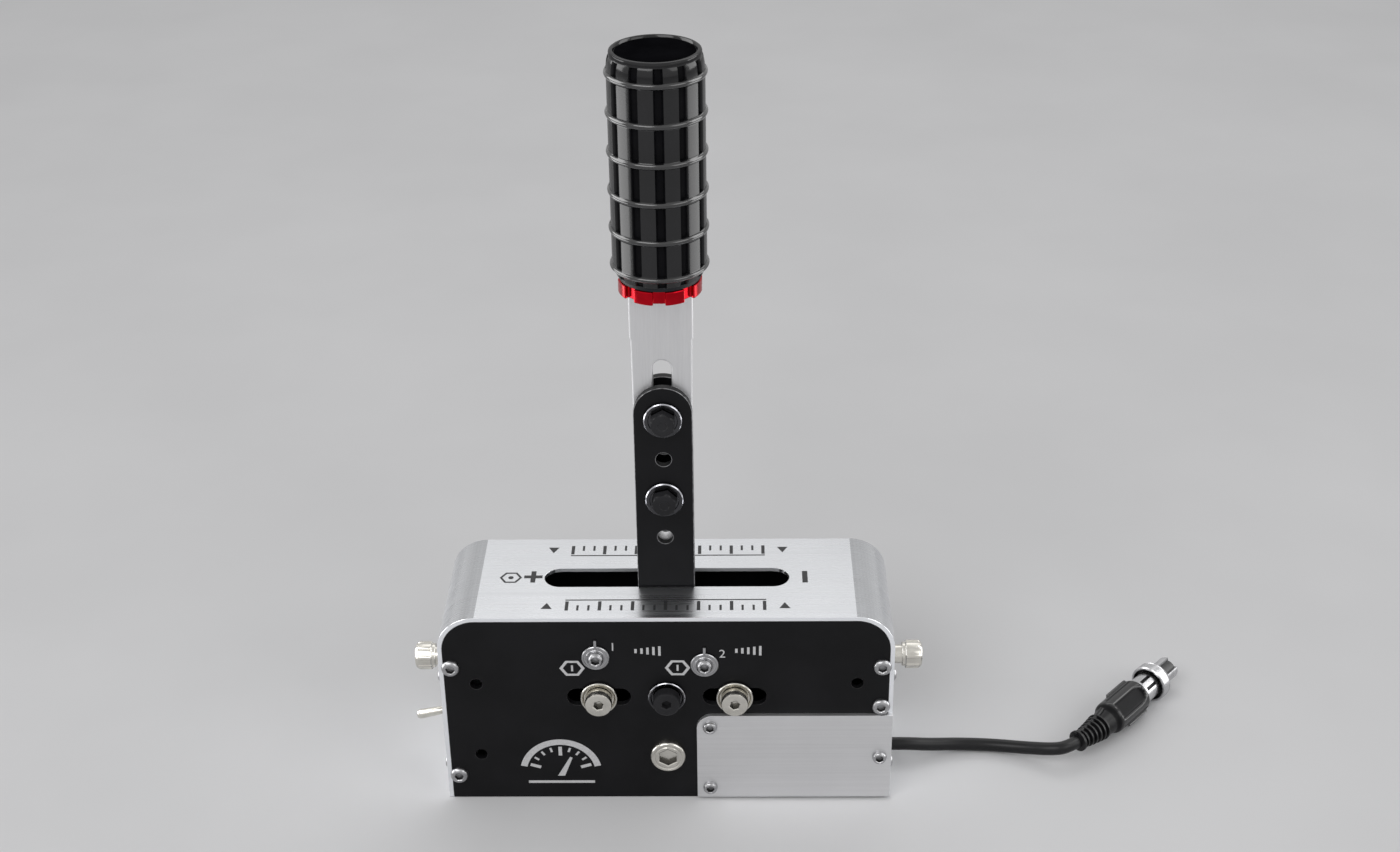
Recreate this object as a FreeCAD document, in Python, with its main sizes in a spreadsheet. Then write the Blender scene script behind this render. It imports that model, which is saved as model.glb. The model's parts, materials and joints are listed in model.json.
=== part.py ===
import FreeCAD, Part
import math
import os

import Sketcher
from FreeCAD import Placement, Rotation, Vector

# Sim racing handbrake, millimetres. The origin is the bottom centre of the housing,
# X runs along the housing, Y runs from its front plate to its rear plate, Z is up.

SIZES = [
    # Housing
    ("housing_length", 200.0),
    ("housing_depth", 64.0),
    ("housing_height", 98.0),
    ("cover_sheet", 2.0),
    ("cover_bend", 17.0),
    ("plate_sheet", 3.0),
    ("base_sheet", 3.0),
    ("seam_gap", 0.1),
    ("end_block_width", 8.0),
    ("end_block_height", 75.0),
    ("top_slot_length", 109.0),
    ("top_slot_width", 15.0),
    # Plate fasteners
    ("screw_thread", 4.0),
    ("screw_head", 8.0),
    ("screw_head_height", 2.3),
    ("screw_hex", 2.5),
    ("screw_hex_depth", 1.3),
    ("screw_engagement", 8.0),
    ("thread_spare", 1.0),
    ("screw_clearance", 0.15),
    ("screw_inset", 5.3),
    ("screw_upper_z", 72.0),
    ("screw_lower_z", 13.0),
    ("screw_right_z", 50.7),
    ("wall_screw_z", 40.0),
    ("base_screw_inset", 20.0),
    ("base_screw_head", 7.0),
    ("base_screw_recess", 0.2),
    ("base_screw_hex_depth", 0.8),
    # Badge plate
    ("badge_left", 13.1),
    ("badge_bottom", 1.3),
    ("badge_top", 46.7),
    ("badge_sheet", 2.0),
    ("badge_corner", 7.0),
    ("badge_screw_inset", 5.8),
    ("badge_thread", 3.0),
    ("badge_head", 6.4),
    # Tapped mounting holes in the side plates and the base
    ("side_hole", 5.6),
    ("side_hole_x", 84.0),
    ("side_hole_low_z", 24.3),
    ("side_hole_high_z", 63.0),
    ("base_hole", 6.5),
    ("base_hole_x", 60.0),
    ("base_hole_y", 20.0),
    # Lever
    ("pivot_z", 24.3),
    ("pivot_bolt", 10.0),
    ("pivot_head", 16.0),
    ("pivot_head_height", 3.0),
    ("pivot_hex", 6.0),
    ("pivot_hex_depth", 2.0),
    ("pivot_nut_height", 5.0),
    ("bush_wall", 1.5),
    ("running_gap", 0.05),
    ("side_gap", 0.3),
    ("fork_width", 25.0),
    ("fork_sheet", 3.5),
    ("fork_top", 197.0),
    ("handle_bar_sheet", 7.0),
    ("slide_gap", 0.05),
    ("height_bolt_high_z", 182.0),
    ("height_pitch", 19.5),
    ("height_bolt", 6.4),
    ("height_hole", 6.8),
    ("height_slot", 8.0),
    ("height_washer", 16.4),
    ("height_washer_sheet", 1.6),
    ("height_head_flats", 10.0),
    ("height_head_height", 4.6),
    ("height_travel_up", 19.0),
    ("slot_top_z", 208.3),
    # Handle
    ("bar_bottom_z", 112.0),
    ("bar_step_z", 217.5),
    ("bar_step_length", 1.0),
    ("bar_corner", 6.4),
    ("bar_low_width", 25.7),
    ("bar_high_width", 26.6),
    ("tang_width", 16.0),
    ("tang_depth", 13.0),
    ("collar_z", 240.0),
    ("collar_height", 6.0),
    ("collar_diameter", 35.0),
    ("collar_notch_width", 5.0),
    ("collar_notch_depth", 2.2),
    ("core_foot_height", 2.0),
    ("core_foot_step", 0.5),
    ("sleeve_length", 91.0),
    ("sleeve_diameter", 39.0),
    ("sleeve_wall", 4.0),
    ("sleeve_shoulder", 3.5),
    ("rib_height", 1.0),
    ("rib_width", 1.6),
    ("rib_low_margin", 4.0),
    ("rib_high_margin", 5.5),
    ("groove_width", 3.2),
    ("groove_depth", 0.7),
    ("cap_inset", 1.5),
    ("cap_height", 3.5),
    ("cap_foot", 1.0),
    ("cap_bevel", 0.8),
    ("cap_rim", 2.0),
    ("cap_recess", 0.8),
    # Spring carriage and its guide pins
    ("spring_axis_z", 56.0),
    ("carriage_travel", 9.6),
    ("carriage_half_length", 36.0),
    ("carriage_wall", 6.5),
    ("carriage_height", 18.0),
    ("window_half_length", 17.0),
    ("drive_pin", 8.0),
    ("drive_pin_gap", 0.4),
    ("drive_slot_rise", 2.2),
    ("drive_spacer_height", 20.0),
    ("window_gap", 0.5),
    ("guide_pin_x", 30.0),
    ("guide_pin", 9.0),
    ("guide_pin_head", 12.0),
    ("guide_pin_reach", 5.0),
    ("guide_pin_hex", 4.0),
    ("guide_ring", 16.4),
    ("guide_ring_sheet", 1.5),
    ("guide_slot_gap", 0.1),
    ("boss_diameter", 9.6),
    ("boss_length", 6.0),
    ("detent_thread", 9.0),
    # Springs and their adjusters
    ("spring_outer", 16.0),
    ("spring_wire", 2.2),
    ("spring_turns", 6.0),
    ("seat_x", 70.0),
    ("seat_thickness", 8.0),
    ("seat_height", 12.0),
    ("rod_diameter", 8.0),
    ("rod_wall_gap", 1.0),
    ("rod_tip_x", 56.0),
    ("rod_collar", 13.0),
    ("rod_collar_length", 3.0),
    ("knob_start", 106.0),
    ("knob_length", 9.0),
    ("knob_diameter", 13.0),
    ("knob_step", 1.6),
    ("knob_groove", 0.8),
    # Mode selectors
    ("selector_left_x", 30.8),
    ("selector_left_drop", 20.6),
    ("selector_right_x", 16.8),
    ("selector_right_drop", 24.5),
    ("selector_washer", 12.2),
    ("selector_washer_sheet", 1.2),
    ("selector_pointer", 2.2),
    ("selector_pointer_width", 2.2),
    ("selector_head", 7.6),
    ("selector_head_height", 2.6),
    ("selector_shaft", 5.0),
    ("selector_cam_length", 7.0),
    ("selector_cam_sheet", 3.0),
    # Toggle switch
    ("toggle_z", 26.5),
    ("toggle_bush", 6.0),
    ("toggle_bush_length", 6.0),
    ("toggle_nut_flats", 8.0),
    ("toggle_nut_height", 1.8),
    ("toggle_bat_neck", 2.2),
    ("toggle_bat_end", 3.0),
    ("toggle_bat_tip", 3.4),
    ("toggle_ball", 3.0),
    ("toggle_pin", 1.0),
    ("toggle_pin_length", 5.0),
    ("toggle_throat", 5.2),
    ("toggle_throat_end", 3.2),
    ("toggle_bat_reach", 15.5),
    ("toggle_rest_angle", 12.5),
    ("toggle_body_length", 12.0),
    ("toggle_body_width", 8.0),
    ("toggle_body_height", 13.0),
    # Sensor and controller boards
    ("magnet", 6.0),
    ("magnet_height", 3.0),
    ("magnet_stand_out", 1.5),
    ("board_sheet", 1.6),
    ("board_post_height", 3.0),
    ("board_post", 5.0),
    ("sensor_board_length", 26.0),
    ("sensor_board_width", 16.0),
    ("main_board_x", 62.0),
    ("main_board_length", 40.0),
    ("main_board_width", 44.0),
    # Cord, strain relief and plug
    ("cord_diameter", 6.0),
    ("gland_y", -4.0),
    ("gland_z", 8.0),
    ("gland_neck", 7.6),
    ("gland_flange", 9.6),
    ("gland_flange_sheet", 1.5),
    ("boot_bend", 125.5),
    ("boot_turn", 10.0),
    ("boot_core", 6.6),
    ("boot_rib_start", 8.4),
    ("boot_rib_end", 13.6),
    ("boot_rib_bevel", 0.5),
    ("plug_heading", 49.0),
    ("plug_body_diameter", 16.0),
    ("plug_body_length", 28.0),
    ("plug_body_taper", 6.0),
    ("plug_body_bevel", 1.5),
    ("plug_neck_diameter", 12.2),
    ("plug_nose_diameter", 12.6),
    ("plug_nose_bevel", 0.5),
    ("plug_shell_wall", 0.8),
    ("plug_shell_length", 29.5),
    ("plug_shell_floor", 2.0),
    ("plug_window_start", 3.5),
    ("plug_window_length", 5.0),
    ("plug_window_width", 3.4),
    ("coupling_start", 10.5),
    ("coupling_length", 6.5),
    ("coupling_diameter", 18.2),
    ("coupling_bevel", 0.8),
    ("insert_recess", 8.0),
    ("plug_pin", 1.4),
    ("plug_pin_length", 6.0),
    ("plug_pin_circle", 6.3),
]

doc = FreeCAD.newDocument("Handbrake")
sheet = doc.addObject("Spreadsheet::Sheet", "Sizes")
for row, (alias, number) in enumerate(SIZES, start=1):
    sheet.set(f"A{row}", alias)
    sheet.set(f"B{row}", str(number))
    sheet.setAlias(f"B{row}", alias)
doc.recompute()


class Size:
    """A length or angle that knows its number and its text for an expression."""

    def __init__(self, number, text):
        self.number = float(number)
        self.text = text

    def __add__(self, other):
        other = as_size(other)
        return Size(self.number + other.number, f"({self.text} + {other.text})")

    def __sub__(self, other):
        other = as_size(other)
        return Size(self.number - other.number, f"({self.text} - {other.text})")

    def __mul__(self, other):
        other = as_size(other)
        return Size(self.number * other.number, f"({self.text} * {other.text})")

    def __truediv__(self, other):
        other = as_size(other)
        return Size(self.number / other.number, f"({self.text} / {other.text})")

    def __neg__(self):
        return Size(-self.number, f"(-1 * {self.text})")

    def __float__(self):
        return self.number

    __radd__ = __add__
    __rmul__ = __mul__

    def __rsub__(self, other):
        return as_size(other) - self


def as_size(value):
    if isinstance(value, Size):
        return value
    return Size(value, f"({float(value)!r})")


class Sheet:
    """The named sizes, as attributes."""


size = Sheet()
for alias, number in SIZES:
    setattr(size, alias, Size(number, f"Sizes.{alias}"))

ALONG = {
    "+x": Rotation(Vector(0, 1, 0), 90),
    "-x": Rotation(Vector(0, 1, 0), -90),
    "+y": Rotation(Vector(1, 0, 0), -90),
    "-y": Rotation(Vector(1, 0, 0), 90),
    "+z": Rotation(),
}
SUBPARTS = []


def bind(item, field, value):
    item.setExpression(field, as_size(value).text)


def place(item, at, rotation=None):
    point = [as_size(value) for value in at]
    item.Placement = Placement(Vector(*map(float, point)), rotation or Rotation())
    for letter, value in zip("xyz", point):
        bind(item, f"Placement.Base.{letter}", value)
    return item


# Solids made of primitives

def rod(name, diameter, length, at, along):
    item = doc.addObject("Part::Cylinder", name)
    bind(item, "Radius", as_size(diameter) / 2)
    bind(item, "Height", length)
    return place(item, at, ALONG[along])


def taper(name, start, end, length, at, along):
    item = doc.addObject("Part::Cone", name)
    bind(item, "Radius1", as_size(start) / 2)
    bind(item, "Radius2", as_size(end) / 2)
    bind(item, "Height", length)
    return place(item, at, ALONG[along])


def ball(name, diameter, at):
    item = doc.addObject("Part::Sphere", name)
    bind(item, "Radius", as_size(diameter) / 2)
    return place(item, at)


def block(name, low, high):
    item = doc.addObject("Part::Box", name)
    for field, a, b in zip(("Length", "Width", "Height"), low, high):
        bind(item, field, as_size(b) - a)
    return place(item, low)


def hexagon(name, flats, length, at, along):
    item = doc.addObject("Part::Prism", name)
    item.Polygon = 6
    bind(item, "Circumradius", as_size(flats) / math.sqrt(3))
    bind(item, "Height", length)
    return place(item, at, ALONG[along])


def cut(name, base, *tools):
    item = doc.addObject("Part::Cut", name)
    item.Base = base
    item.Tool = tools[0] if len(tools) == 1 else fuse(name + "_tools", *tools)
    return item


def fuse(name, *pieces):
    item = doc.addObject("Part::MultiFuse", name)
    item.Shapes = list(pieces)
    return item


def tube(name, outer, inner, length, at, along):
    return cut(name, rod(name + "_outside", outer, length, at, along),
               rod(name + "_bore", inner, length, at, along))


def subpart(label, item):
    """Names a finished piece and keeps it for writing."""
    item.Label = label
    SUBPARTS.append(item)
    return item


def group(label, pieces):
    item = doc.addObject("Part::Compound", label)
    item.Links = list(pieces)
    return subpart(label, item)


# Solids made of sketches

class Body:
    """A body made of sketched features."""

    def __init__(self, label):
        self.label = label
        self.body = doc.addObject("PartDesign::Body", label)
        self.planes = {item.Role: item for item in self.body.Origin.OriginFeatures}
        self.count = 0

    def name(self, kind):
        self.count += 1
        return f"{self.label}_{kind}_{self.count}"

    def sketch(self, plane, offset):
        item = self.body.newObject("Sketcher::SketchObject", self.name("sketch"))
        item.AttachmentSupport = [(self.planes[plane], "")]
        item.MapMode = "FlatFace"
        bind(item, "AttachmentOffset.Base.z", offset)
        return Drawing(item)

    def feature(self, kind, drawing, sizes, **settings):
        item = self.body.newObject("PartDesign::" + kind, self.name(kind))
        item.Profile = drawing.item
        for field, value in sizes.items():
            bind(item, field, value)
        for field, value in settings.items():
            setattr(item, field, value)
        doc.recompute()
        return item

    def pad(self, drawing, length, **settings):
        return self.feature("Pad", drawing, {"Length": length}, **settings)

    def pocket(self, drawing, depth):
        before = self.body.Shape.Volume
        item = self.feature("Pocket", drawing, {"Length": depth})
        if self.body.Shape.Volume >= before - 1e-6:
            raise RuntimeError(f"{item.Name} removed nothing")
        return item

    def revolve(self, drawing, kind="Revolution"):
        return self.feature(kind, drawing, {}, ReferenceAxis=(drawing.item, ["V_Axis"]))

    def repeat_round(self, feature, count):
        item = self.body.newObject("PartDesign::PolarPattern", self.name("PolarPattern"))
        item.Originals = [feature]
        item.Axis = (self.body.Origin.OriginFeatures[2], [""])
        item.Angle = 360
        item.Occurrences = count
        self.body.Tip = item
        doc.recompute()
        return item

    def round_edges(self, radius, points, direction):
        """Rounds the straight edges that run in a direction through given points."""
        base = self.body.Tip
        names = []
        for number, edge in enumerate(base.Shape.Edges, start=1):
            a, b = edge.Vertexes[0].Point, edge.Vertexes[-1].Point
            if (b - a).Length < 1e-6 or abs((b - a).normalize().dot(direction)) < 0.999:
                continue
            middle = (a + b) / 2
            for point in points:
                offset = middle - Vector(*map(float, point))
                offset = offset - direction * offset.dot(direction)
                if offset.Length < 0.01:
                    names.append(f"Edge{number}")
        if len(names) != len(points):
            raise RuntimeError(f"{self.label}: found {len(names)} edges of {len(points)}")
        item = self.body.newObject("PartDesign::Fillet", self.name("Fillet"))
        item.Base = (base, names)
        bind(item, "Radius", radius)
        doc.recompute()
        return item

    def done(self):
        return subpart(self.label, self.body)


class Drawing:
    """A sketch whose points and radii are bound to the sheet."""

    def __init__(self, item):
        self.item = item

    def constrain(self, kind, *values):
        *where, value = values
        number = self.item.addConstraint(Sketcher.Constraint(kind, *where, float(value)))
        self.item.setExpression(f"Constraints[{number}]", as_size(value).text)

    def pin(self, geometry, point, x, y):
        self.constrain("DistanceX", -1, 1, geometry, point, as_size(x))
        self.constrain("DistanceY", -1, 1, geometry, point, as_size(y))

    def circle(self, x, y, diameter):
        radius = as_size(diameter) / 2
        centre = Vector(float(x), float(y), 0)
        circle = self.item.addGeometry(Part.Circle(centre, Vector(0, 0, 1), float(radius)))
        self.pin(circle, 3, x, y)
        self.constrain("Radius", circle, radius)

    def polygon(self, points):
        corners = [Vector(float(x), float(y), 0) for x, y in points]
        count = len(points)
        lines = [self.item.addGeometry(Part.LineSegment(corners[i], corners[(i + 1) % count]))
                 for i in range(count)]
        for i in range(count):
            after = lines[(i + 1) % count]
            self.item.addConstraint(Sketcher.Constraint("Coincident", lines[i], 2, after, 1))
            self.pin(lines[i], 1, *points[i])

    def rectangle(self, x0, y0, x1, y1):
        self.polygon([(x0, y0), (x1, y0), (x1, y1), (x0, y1)])

    def slot(self, start, end, width):
        """A slot with round ends between two centres that share an x or a y."""
        a = Vector(*map(float, start), 0)
        b = Vector(*map(float, end), 0)
        radius = as_size(width) / 2
        r = float(radius)
        angle = math.atan2(b.y - a.y, b.x - a.x)
        side = Vector(-math.sin(angle), math.cos(angle), 0) * r
        up = Vector(0, 0, 1)
        first = Part.ArcOfCircle(Part.Circle(a, up, r), angle + math.pi / 2, angle + 1.5 * math.pi)
        last = Part.ArcOfCircle(Part.Circle(b, up, r), angle - math.pi / 2, angle + math.pi / 2)
        arc_a = self.item.addGeometry(first)
        arc_b = self.item.addGeometry(last)
        low = self.item.addGeometry(Part.LineSegment(a - side, b - side))
        high = self.item.addGeometry(Part.LineSegment(b + side, a + side))
        for joint in ((arc_a, 2, low, 1), (low, 2, arc_b, 1), (arc_b, 2, high, 1), (high, 2, arc_a, 1)):
            self.item.addConstraint(Sketcher.Constraint("Tangent", *joint))
        self.pin(arc_a, 3, *start)
        self.pin(arc_b, 3, *end)
        self.constrain("Radius", arc_a, radius)


# Places that several pieces share
half_length = size.housing_length / 2
half_depth = size.housing_depth / 2
wall_inside = half_length - size.cover_sheet
roof_inside = size.housing_height - size.cover_sheet
plate_inside = half_depth - size.plate_sheet
plate_edge = wall_inside - size.seam_gap
plate_top = roof_inside - size.seam_gap
block_inside = wall_inside - size.end_block_width
screw_x = half_length - size.screw_inset
base_screw_x = (block_inside + plate_edge) / 2
thread_depth = size.screw_engagement + size.thread_spare
fork_inside = size.handle_bar_sheet / 2 + size.slide_gap
fork_outside = fork_inside + size.fork_sheet
travel = size.carriage_travel
bolt_low_z = size.height_bolt_high_z - 2 * size.height_pitch
thread_bore = size.screw_thread + 2 * size.running_gap
screw_bore = size.screw_thread + 2 * size.screw_clearance
axis_z = size.spring_axis_z
foot_z = size.collar_z + size.collar_height
sleeve_bottom_z = foot_z + size.core_foot_height
sleeve_top_z = sleeve_bottom_z + size.sleeve_length
rib_first_z = sleeve_bottom_z + size.rib_low_margin
rib_last_z = sleeve_top_z - size.rib_high_margin
core_diameter = size.sleeve_diameter - 2 * size.sleeve_wall
window_y = fork_outside + size.window_gap
SIDES = (("left", -1), ("right", 1))

PLATE_SCREWS = [
    (-screw_x, size.screw_upper_z),
    (-screw_x, size.screw_lower_z),
    (screw_x, size.screw_upper_z),
    (screw_x, size.screw_right_z),
    (screw_x, (size.badge_bottom + size.badge_top) / 2),
]
BADGE_SCREWS = [
    (size.badge_left + size.badge_screw_inset, size.badge_top - size.badge_screw_inset),
    (size.badge_left + size.badge_screw_inset, size.badge_bottom + size.badge_screw_inset),
    PLATE_SCREWS[4],
]
SELECTORS = [
    (-1, size.selector_left_x, size.housing_height - size.selector_left_drop),
    (1, size.selector_right_x, size.housing_height - size.selector_right_drop),
]

# Counts, and shapes that are a share of a size
HEIGHT_HOLES = 4
COLLAR_NOTCHES = 8
GRIP_GROOVES = 12
GRIP_RIBS = 6
BUTTON_TOP = 0.62
SELECTOR_TOP = 0.7
BOOT_RIBS = 7
BOOT_RIB_SHARE = 0.62
PLUG_PINS = 5
PLUG_PIN_SPREAD = 45
CUT_OVER = 1


def cap_screw(name, at, along, thread, head, head_height, length):
    """A button head screw with a hex socket; at is the middle under the head."""
    back = {"+": "-", "-": "+"}[along[0]] + along[1]
    axis = "xyz".index(along[1])
    sign = 1 if along[0] == "+" else -1
    top = list(at)
    top[axis] = as_size(at[axis]) - sign * head_height
    shank = rod(name + "_shank", thread, length, at, along)
    button = taper(name + "_head", head, BUTTON_TOP * head, head_height, at, back)
    socket = hexagon(name + "_socket", size.screw_hex, size.screw_hex_depth, top, along)
    return cut(name, fuse(name + "_solid", shank, button), socket)


# Housing: bent cover over the top and both ends

def top_cover():
    body = Body("top_cover")
    profile = body.sketch("XZ_Plane", 0)
    profile.polygon([
        (-half_length, 0), (-half_length, size.housing_height),
        (half_length, size.housing_height), (half_length, 0),
        (wall_inside, 0), (wall_inside, roof_inside),
        (-wall_inside, roof_inside), (-wall_inside, 0),
    ])
    body.pad(profile, size.housing_depth, SideType="Symmetric")
    along_y = Vector(0, 1, 0)
    body.round_edges(size.cover_bend, [(half_length, 0, size.housing_height),
                                       (-half_length, 0, size.housing_height)], along_y)
    body.round_edges(size.cover_bend - size.cover_sheet, [(wall_inside, 0, roof_inside),
                                                          (-wall_inside, 0, roof_inside)], along_y)
    opening = body.sketch("XY_Plane", size.housing_height)
    reach = (size.top_slot_length - size.top_slot_width) / 2
    opening.slot((-reach, 0), (reach, 0), size.top_slot_width)
    body.pocket(opening, size.cover_sheet)
    for side, sign in SIDES:
        holes = body.sketch("YZ_Plane", half_length if sign > 0 else -wall_inside)
        holes.circle(0, axis_z, size.rod_diameter + 2 * size.rod_wall_gap)
        holes.circle(0, size.wall_screw_z, screw_bore)
        if sign > 0:
            holes.circle(size.gland_y, size.gland_z, size.gland_neck + 2 * size.running_gap)
        else:
            holes.circle(0, size.toggle_z, size.toggle_bush + 2 * size.running_gap)
        body.pocket(holes, size.cover_sheet)
    return body.done()


def side_plate(label, front):
    """One of the two flat plates that close the housing."""
    body = Body(label)
    profile = body.sketch("XZ_Plane", half_depth if front else -plate_inside)
    profile.polygon([(-plate_edge, 0), (plate_edge, 0), (plate_edge, plate_top), (-plate_edge, plate_top)])
    body.pad(profile, size.plate_sheet, Reversed=True)
    corner = size.cover_bend - size.cover_sheet
    body.round_edges(corner, [(plate_edge, 0, plate_top), (-plate_edge, 0, plate_top)], Vector(0, 1, 0))
    holes = body.sketch("XZ_Plane", half_depth if front else -plate_inside)
    holes.circle(0, size.pivot_z, size.pivot_bolt + 2 * size.running_gap)
    for sign in (-1, 1):
        inner = size.guide_pin_x - travel
        outer = size.guide_pin_x + travel
        holes.slot((sign * inner, axis_z), (sign * outer, axis_z), size.guide_pin + 2 * size.guide_slot_gap)
        for z in (size.side_hole_low_z, size.side_hole_high_z):
            holes.circle(sign * size.side_hole_x, z, size.side_hole)
    for x, z in PLATE_SCREWS:
        holes.circle(x, z, screw_bore)
    if front:
        holes.circle(0, axis_z, size.detent_thread + 2 * size.running_gap)
        for sign, x, z in SELECTORS:
            holes.circle(sign * x, z, size.selector_shaft + 2 * size.running_gap)
        for x, z in BADGE_SCREWS[:2]:
            holes.circle(x, z, size.badge_thread + 2 * size.running_gap)
    body.pocket(holes, size.plate_sheet)
    return body.done()


def base_plate():
    body = Body("base_plate")
    profile = body.sketch("XY_Plane", 0)
    profile.rectangle(-plate_edge, -plate_inside, plate_edge, plate_inside)
    body.pad(profile, size.base_sheet)
    holes = body.sketch("XY_Plane", size.base_sheet)
    for sign in (-1, 1):
        for other in (-1, 1):
            holes.circle(sign * size.base_hole_x, other * size.base_hole_y, size.base_hole)
            holes.circle(sign * base_screw_x, other * size.base_screw_inset, screw_bore)
    body.pocket(holes, size.base_sheet)
    sinks = body.sketch("XY_Plane", size.base_sheet / 2)
    for sign in (-1, 1):
        for other in (-1, 1):
            sinks.circle(sign * base_screw_x, other * size.base_screw_inset,
                         size.base_screw_head + 2 * size.screw_clearance)
    body.pocket(sinks, size.base_sheet / 2)
    return body.done()


def end_block(side, sign):
    """The solid block inside one end wall that the plates and the cover are screwed to."""
    name = f"end_block_{side}"
    inner, outer = sign * block_inside, sign * plate_edge
    low, high = (inner, outer) if sign > 0 else (outer, inner)
    top = size.base_sheet + size.end_block_height
    solid = block(name + "_solid", (low, -plate_inside, size.base_sheet), (high, plate_inside, top))
    along = "+x" if sign > 0 else "-x"
    width = size.end_block_width
    cuts = [rod(name + "_rod_hole", size.rod_diameter + 2 * size.running_gap, width,
                (inner, 0, axis_z), along),
            rod(name + "_wall_screw_hole", thread_bore, width, (inner, 0, size.wall_screw_z), along)]
    for number, (x, z) in enumerate(PLATE_SCREWS):
        if float(x) * sign > 0:
            for face, run in ((-plate_inside, "+y"), (plate_inside, "-y")):
                cuts.append(rod(f"{name}_thread_{number}{run[0]}", thread_bore, thread_depth,
                                (x, face, z), run))
    for other in (-1, 1):
        cuts.append(rod(f"{name}_base_thread_{other}", thread_bore, thread_depth,
                        (sign * base_screw_x, other * size.base_screw_inset, size.base_sheet), "+z"))
    if sign > 0:
        cuts.append(rod(name + "_cord_hole", size.gland_neck + 2 * size.running_gap, width,
                        (inner, size.gland_y, size.gland_z), along))
    else:
        half = size.toggle_body_width / 2 + size.screw_clearance
        tall = size.toggle_body_height / 2 + size.screw_clearance
        cuts.append(block(name + "_switch_bay", (low, -half, size.toggle_z - tall),
                          (high, half, size.toggle_z + tall)))
    return subpart(name, cut(name, solid, *cuts))


def fasteners():
    """The screws that hold the plates, the cover, the base and the badge plate."""
    head = (size.screw_thread, size.screw_head, size.screw_head_height)
    reach = size.plate_sheet + size.screw_engagement
    front = [cap_screw(f"front_screw_{i}", (x, -half_depth, z), "+y", *head, reach)
             for i, (x, z) in enumerate(PLATE_SCREWS[:4])]
    group("front_plate_screws", front)
    rear = [cap_screw(f"rear_screw_{i}", (x, half_depth, z), "-y", *head, reach)
            for i, (x, z) in enumerate(PLATE_SCREWS)]
    group("rear_plate_screws", rear)
    wall = size.cover_sheet + size.end_block_width - size.thread_spare
    ends = [cap_screw(f"wall_screw_{side}", (sign * half_length, 0, size.wall_screw_z),
                      "-x" if sign > 0 else "+x", *head, wall) for side, sign in SIDES]
    group("end_wall_screws", ends)
    flat = []
    for sign in (-1, 1):
        for other in (-1, 1):
            name = f"base_screw_{sign}_{other}".replace("-", "n")
            at = (sign * base_screw_x, other * size.base_screw_inset, size.base_sheet / 2)
            start = (at[0], at[1], size.base_screw_recess)
            shank = rod(name + "_shank", size.screw_thread, size.base_sheet / 2 + size.screw_engagement,
                        at, "+z")
            disc = rod(name + "_head", size.base_screw_head, size.base_sheet / 2 - size.base_screw_recess,
                       start, "+z")
            socket = hexagon(name + "_socket", size.screw_hex, size.base_screw_hex_depth, start, "+z")
            flat.append(cut(name, fuse(name + "_solid", shank, disc), socket))
    group("base_screws", flat)
    badge = []
    for number, (x, z) in enumerate(BADGE_SCREWS):
        deep = number == 2
        face = -half_depth - size.badge_sheet
        length = size.badge_sheet + size.plate_sheet + (size.screw_engagement if deep else 0)
        thread = size.screw_thread if deep else size.badge_thread
        badge.append(cap_screw(f"badge_screw_{number}", (x, face, z), "+y", thread, size.badge_head,
                               size.screw_head_height, length))
    group("badge_screws", badge)


def badge_plate():
    body = Body("badge_plate")
    face = half_depth + size.badge_sheet
    profile = body.sketch("XZ_Plane", face)
    profile.rectangle(size.badge_left, size.badge_bottom, half_length, size.badge_top)
    body.pad(profile, size.badge_sheet, Reversed=True)
    body.round_edges(size.badge_corner, [(size.badge_left, 0, size.badge_top)], Vector(0, 1, 0))
    holes = body.sketch("XZ_Plane", face)
    for number, (x, z) in enumerate(BADGE_SCREWS):
        thread = size.screw_thread if number == 2 else size.badge_thread
        holes.circle(x, z, thread + 2 * size.screw_clearance)
    body.pocket(holes, size.badge_sheet)
    return body.done()


# Pivot of the lever

def pivot():
    z = size.pivot_z
    head = rod("pivot_head", size.pivot_head, size.pivot_head_height, (0, -half_depth, z), "-y")
    shank = size.housing_depth + size.pivot_nut_height + size.thread_spare
    shoulder = rod("pivot_shoulder", size.pivot_bolt, shank, (0, -half_depth, z), "+y")
    socket = hexagon("pivot_socket", size.pivot_hex, size.pivot_hex_depth,
                     (0, -half_depth - size.pivot_head_height, z), "+y")
    subpart("pivot_bolt", cut("pivot_bolt", fuse("pivot_solid", head, shoulder), socket))
    bore = size.pivot_bolt + 2 * size.running_gap
    nut = cut("pivot_nut", hexagon("pivot_nut_outside", size.pivot_head, size.pivot_nut_height,
                                   (0, half_depth, z), "+y"),
              rod("pivot_nut_bore", bore, size.pivot_nut_height, (0, half_depth, z), "+y"))
    subpart("pivot_nut", nut)
    length = plate_inside - fork_outside - size.side_gap
    sleeves = [tube(f"pivot_sleeve_{side}", size.pivot_head, bore, length,
                    (0, sign * plate_inside, z), "-y" if sign > 0 else "+y") for side, sign in SIDES]
    group("pivot_sleeves", sleeves)


def fork_bar(label, sign):
    """One of the two black bars that carry the handle."""
    body = Body(label)
    offset = fork_outside if sign < 0 else -fork_inside
    profile = body.sketch("XZ_Plane", offset)
    profile.slot((0, size.pivot_z), (0, size.fork_top - size.fork_width / 2), size.fork_width)
    body.pad(profile, size.fork_sheet, Reversed=True)
    holes = body.sketch("XZ_Plane", offset)
    holes.circle(0, size.pivot_z, size.pivot_bolt + 2 * size.bush_wall + 2 * size.running_gap)
    holes.circle(0, axis_z, size.drive_pin)
    for step in range(HEIGHT_HOLES):
        holes.circle(0, size.height_bolt_high_z - step * size.height_pitch, size.height_hole)
    body.pocket(holes, size.fork_sheet)
    return body.done()


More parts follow.
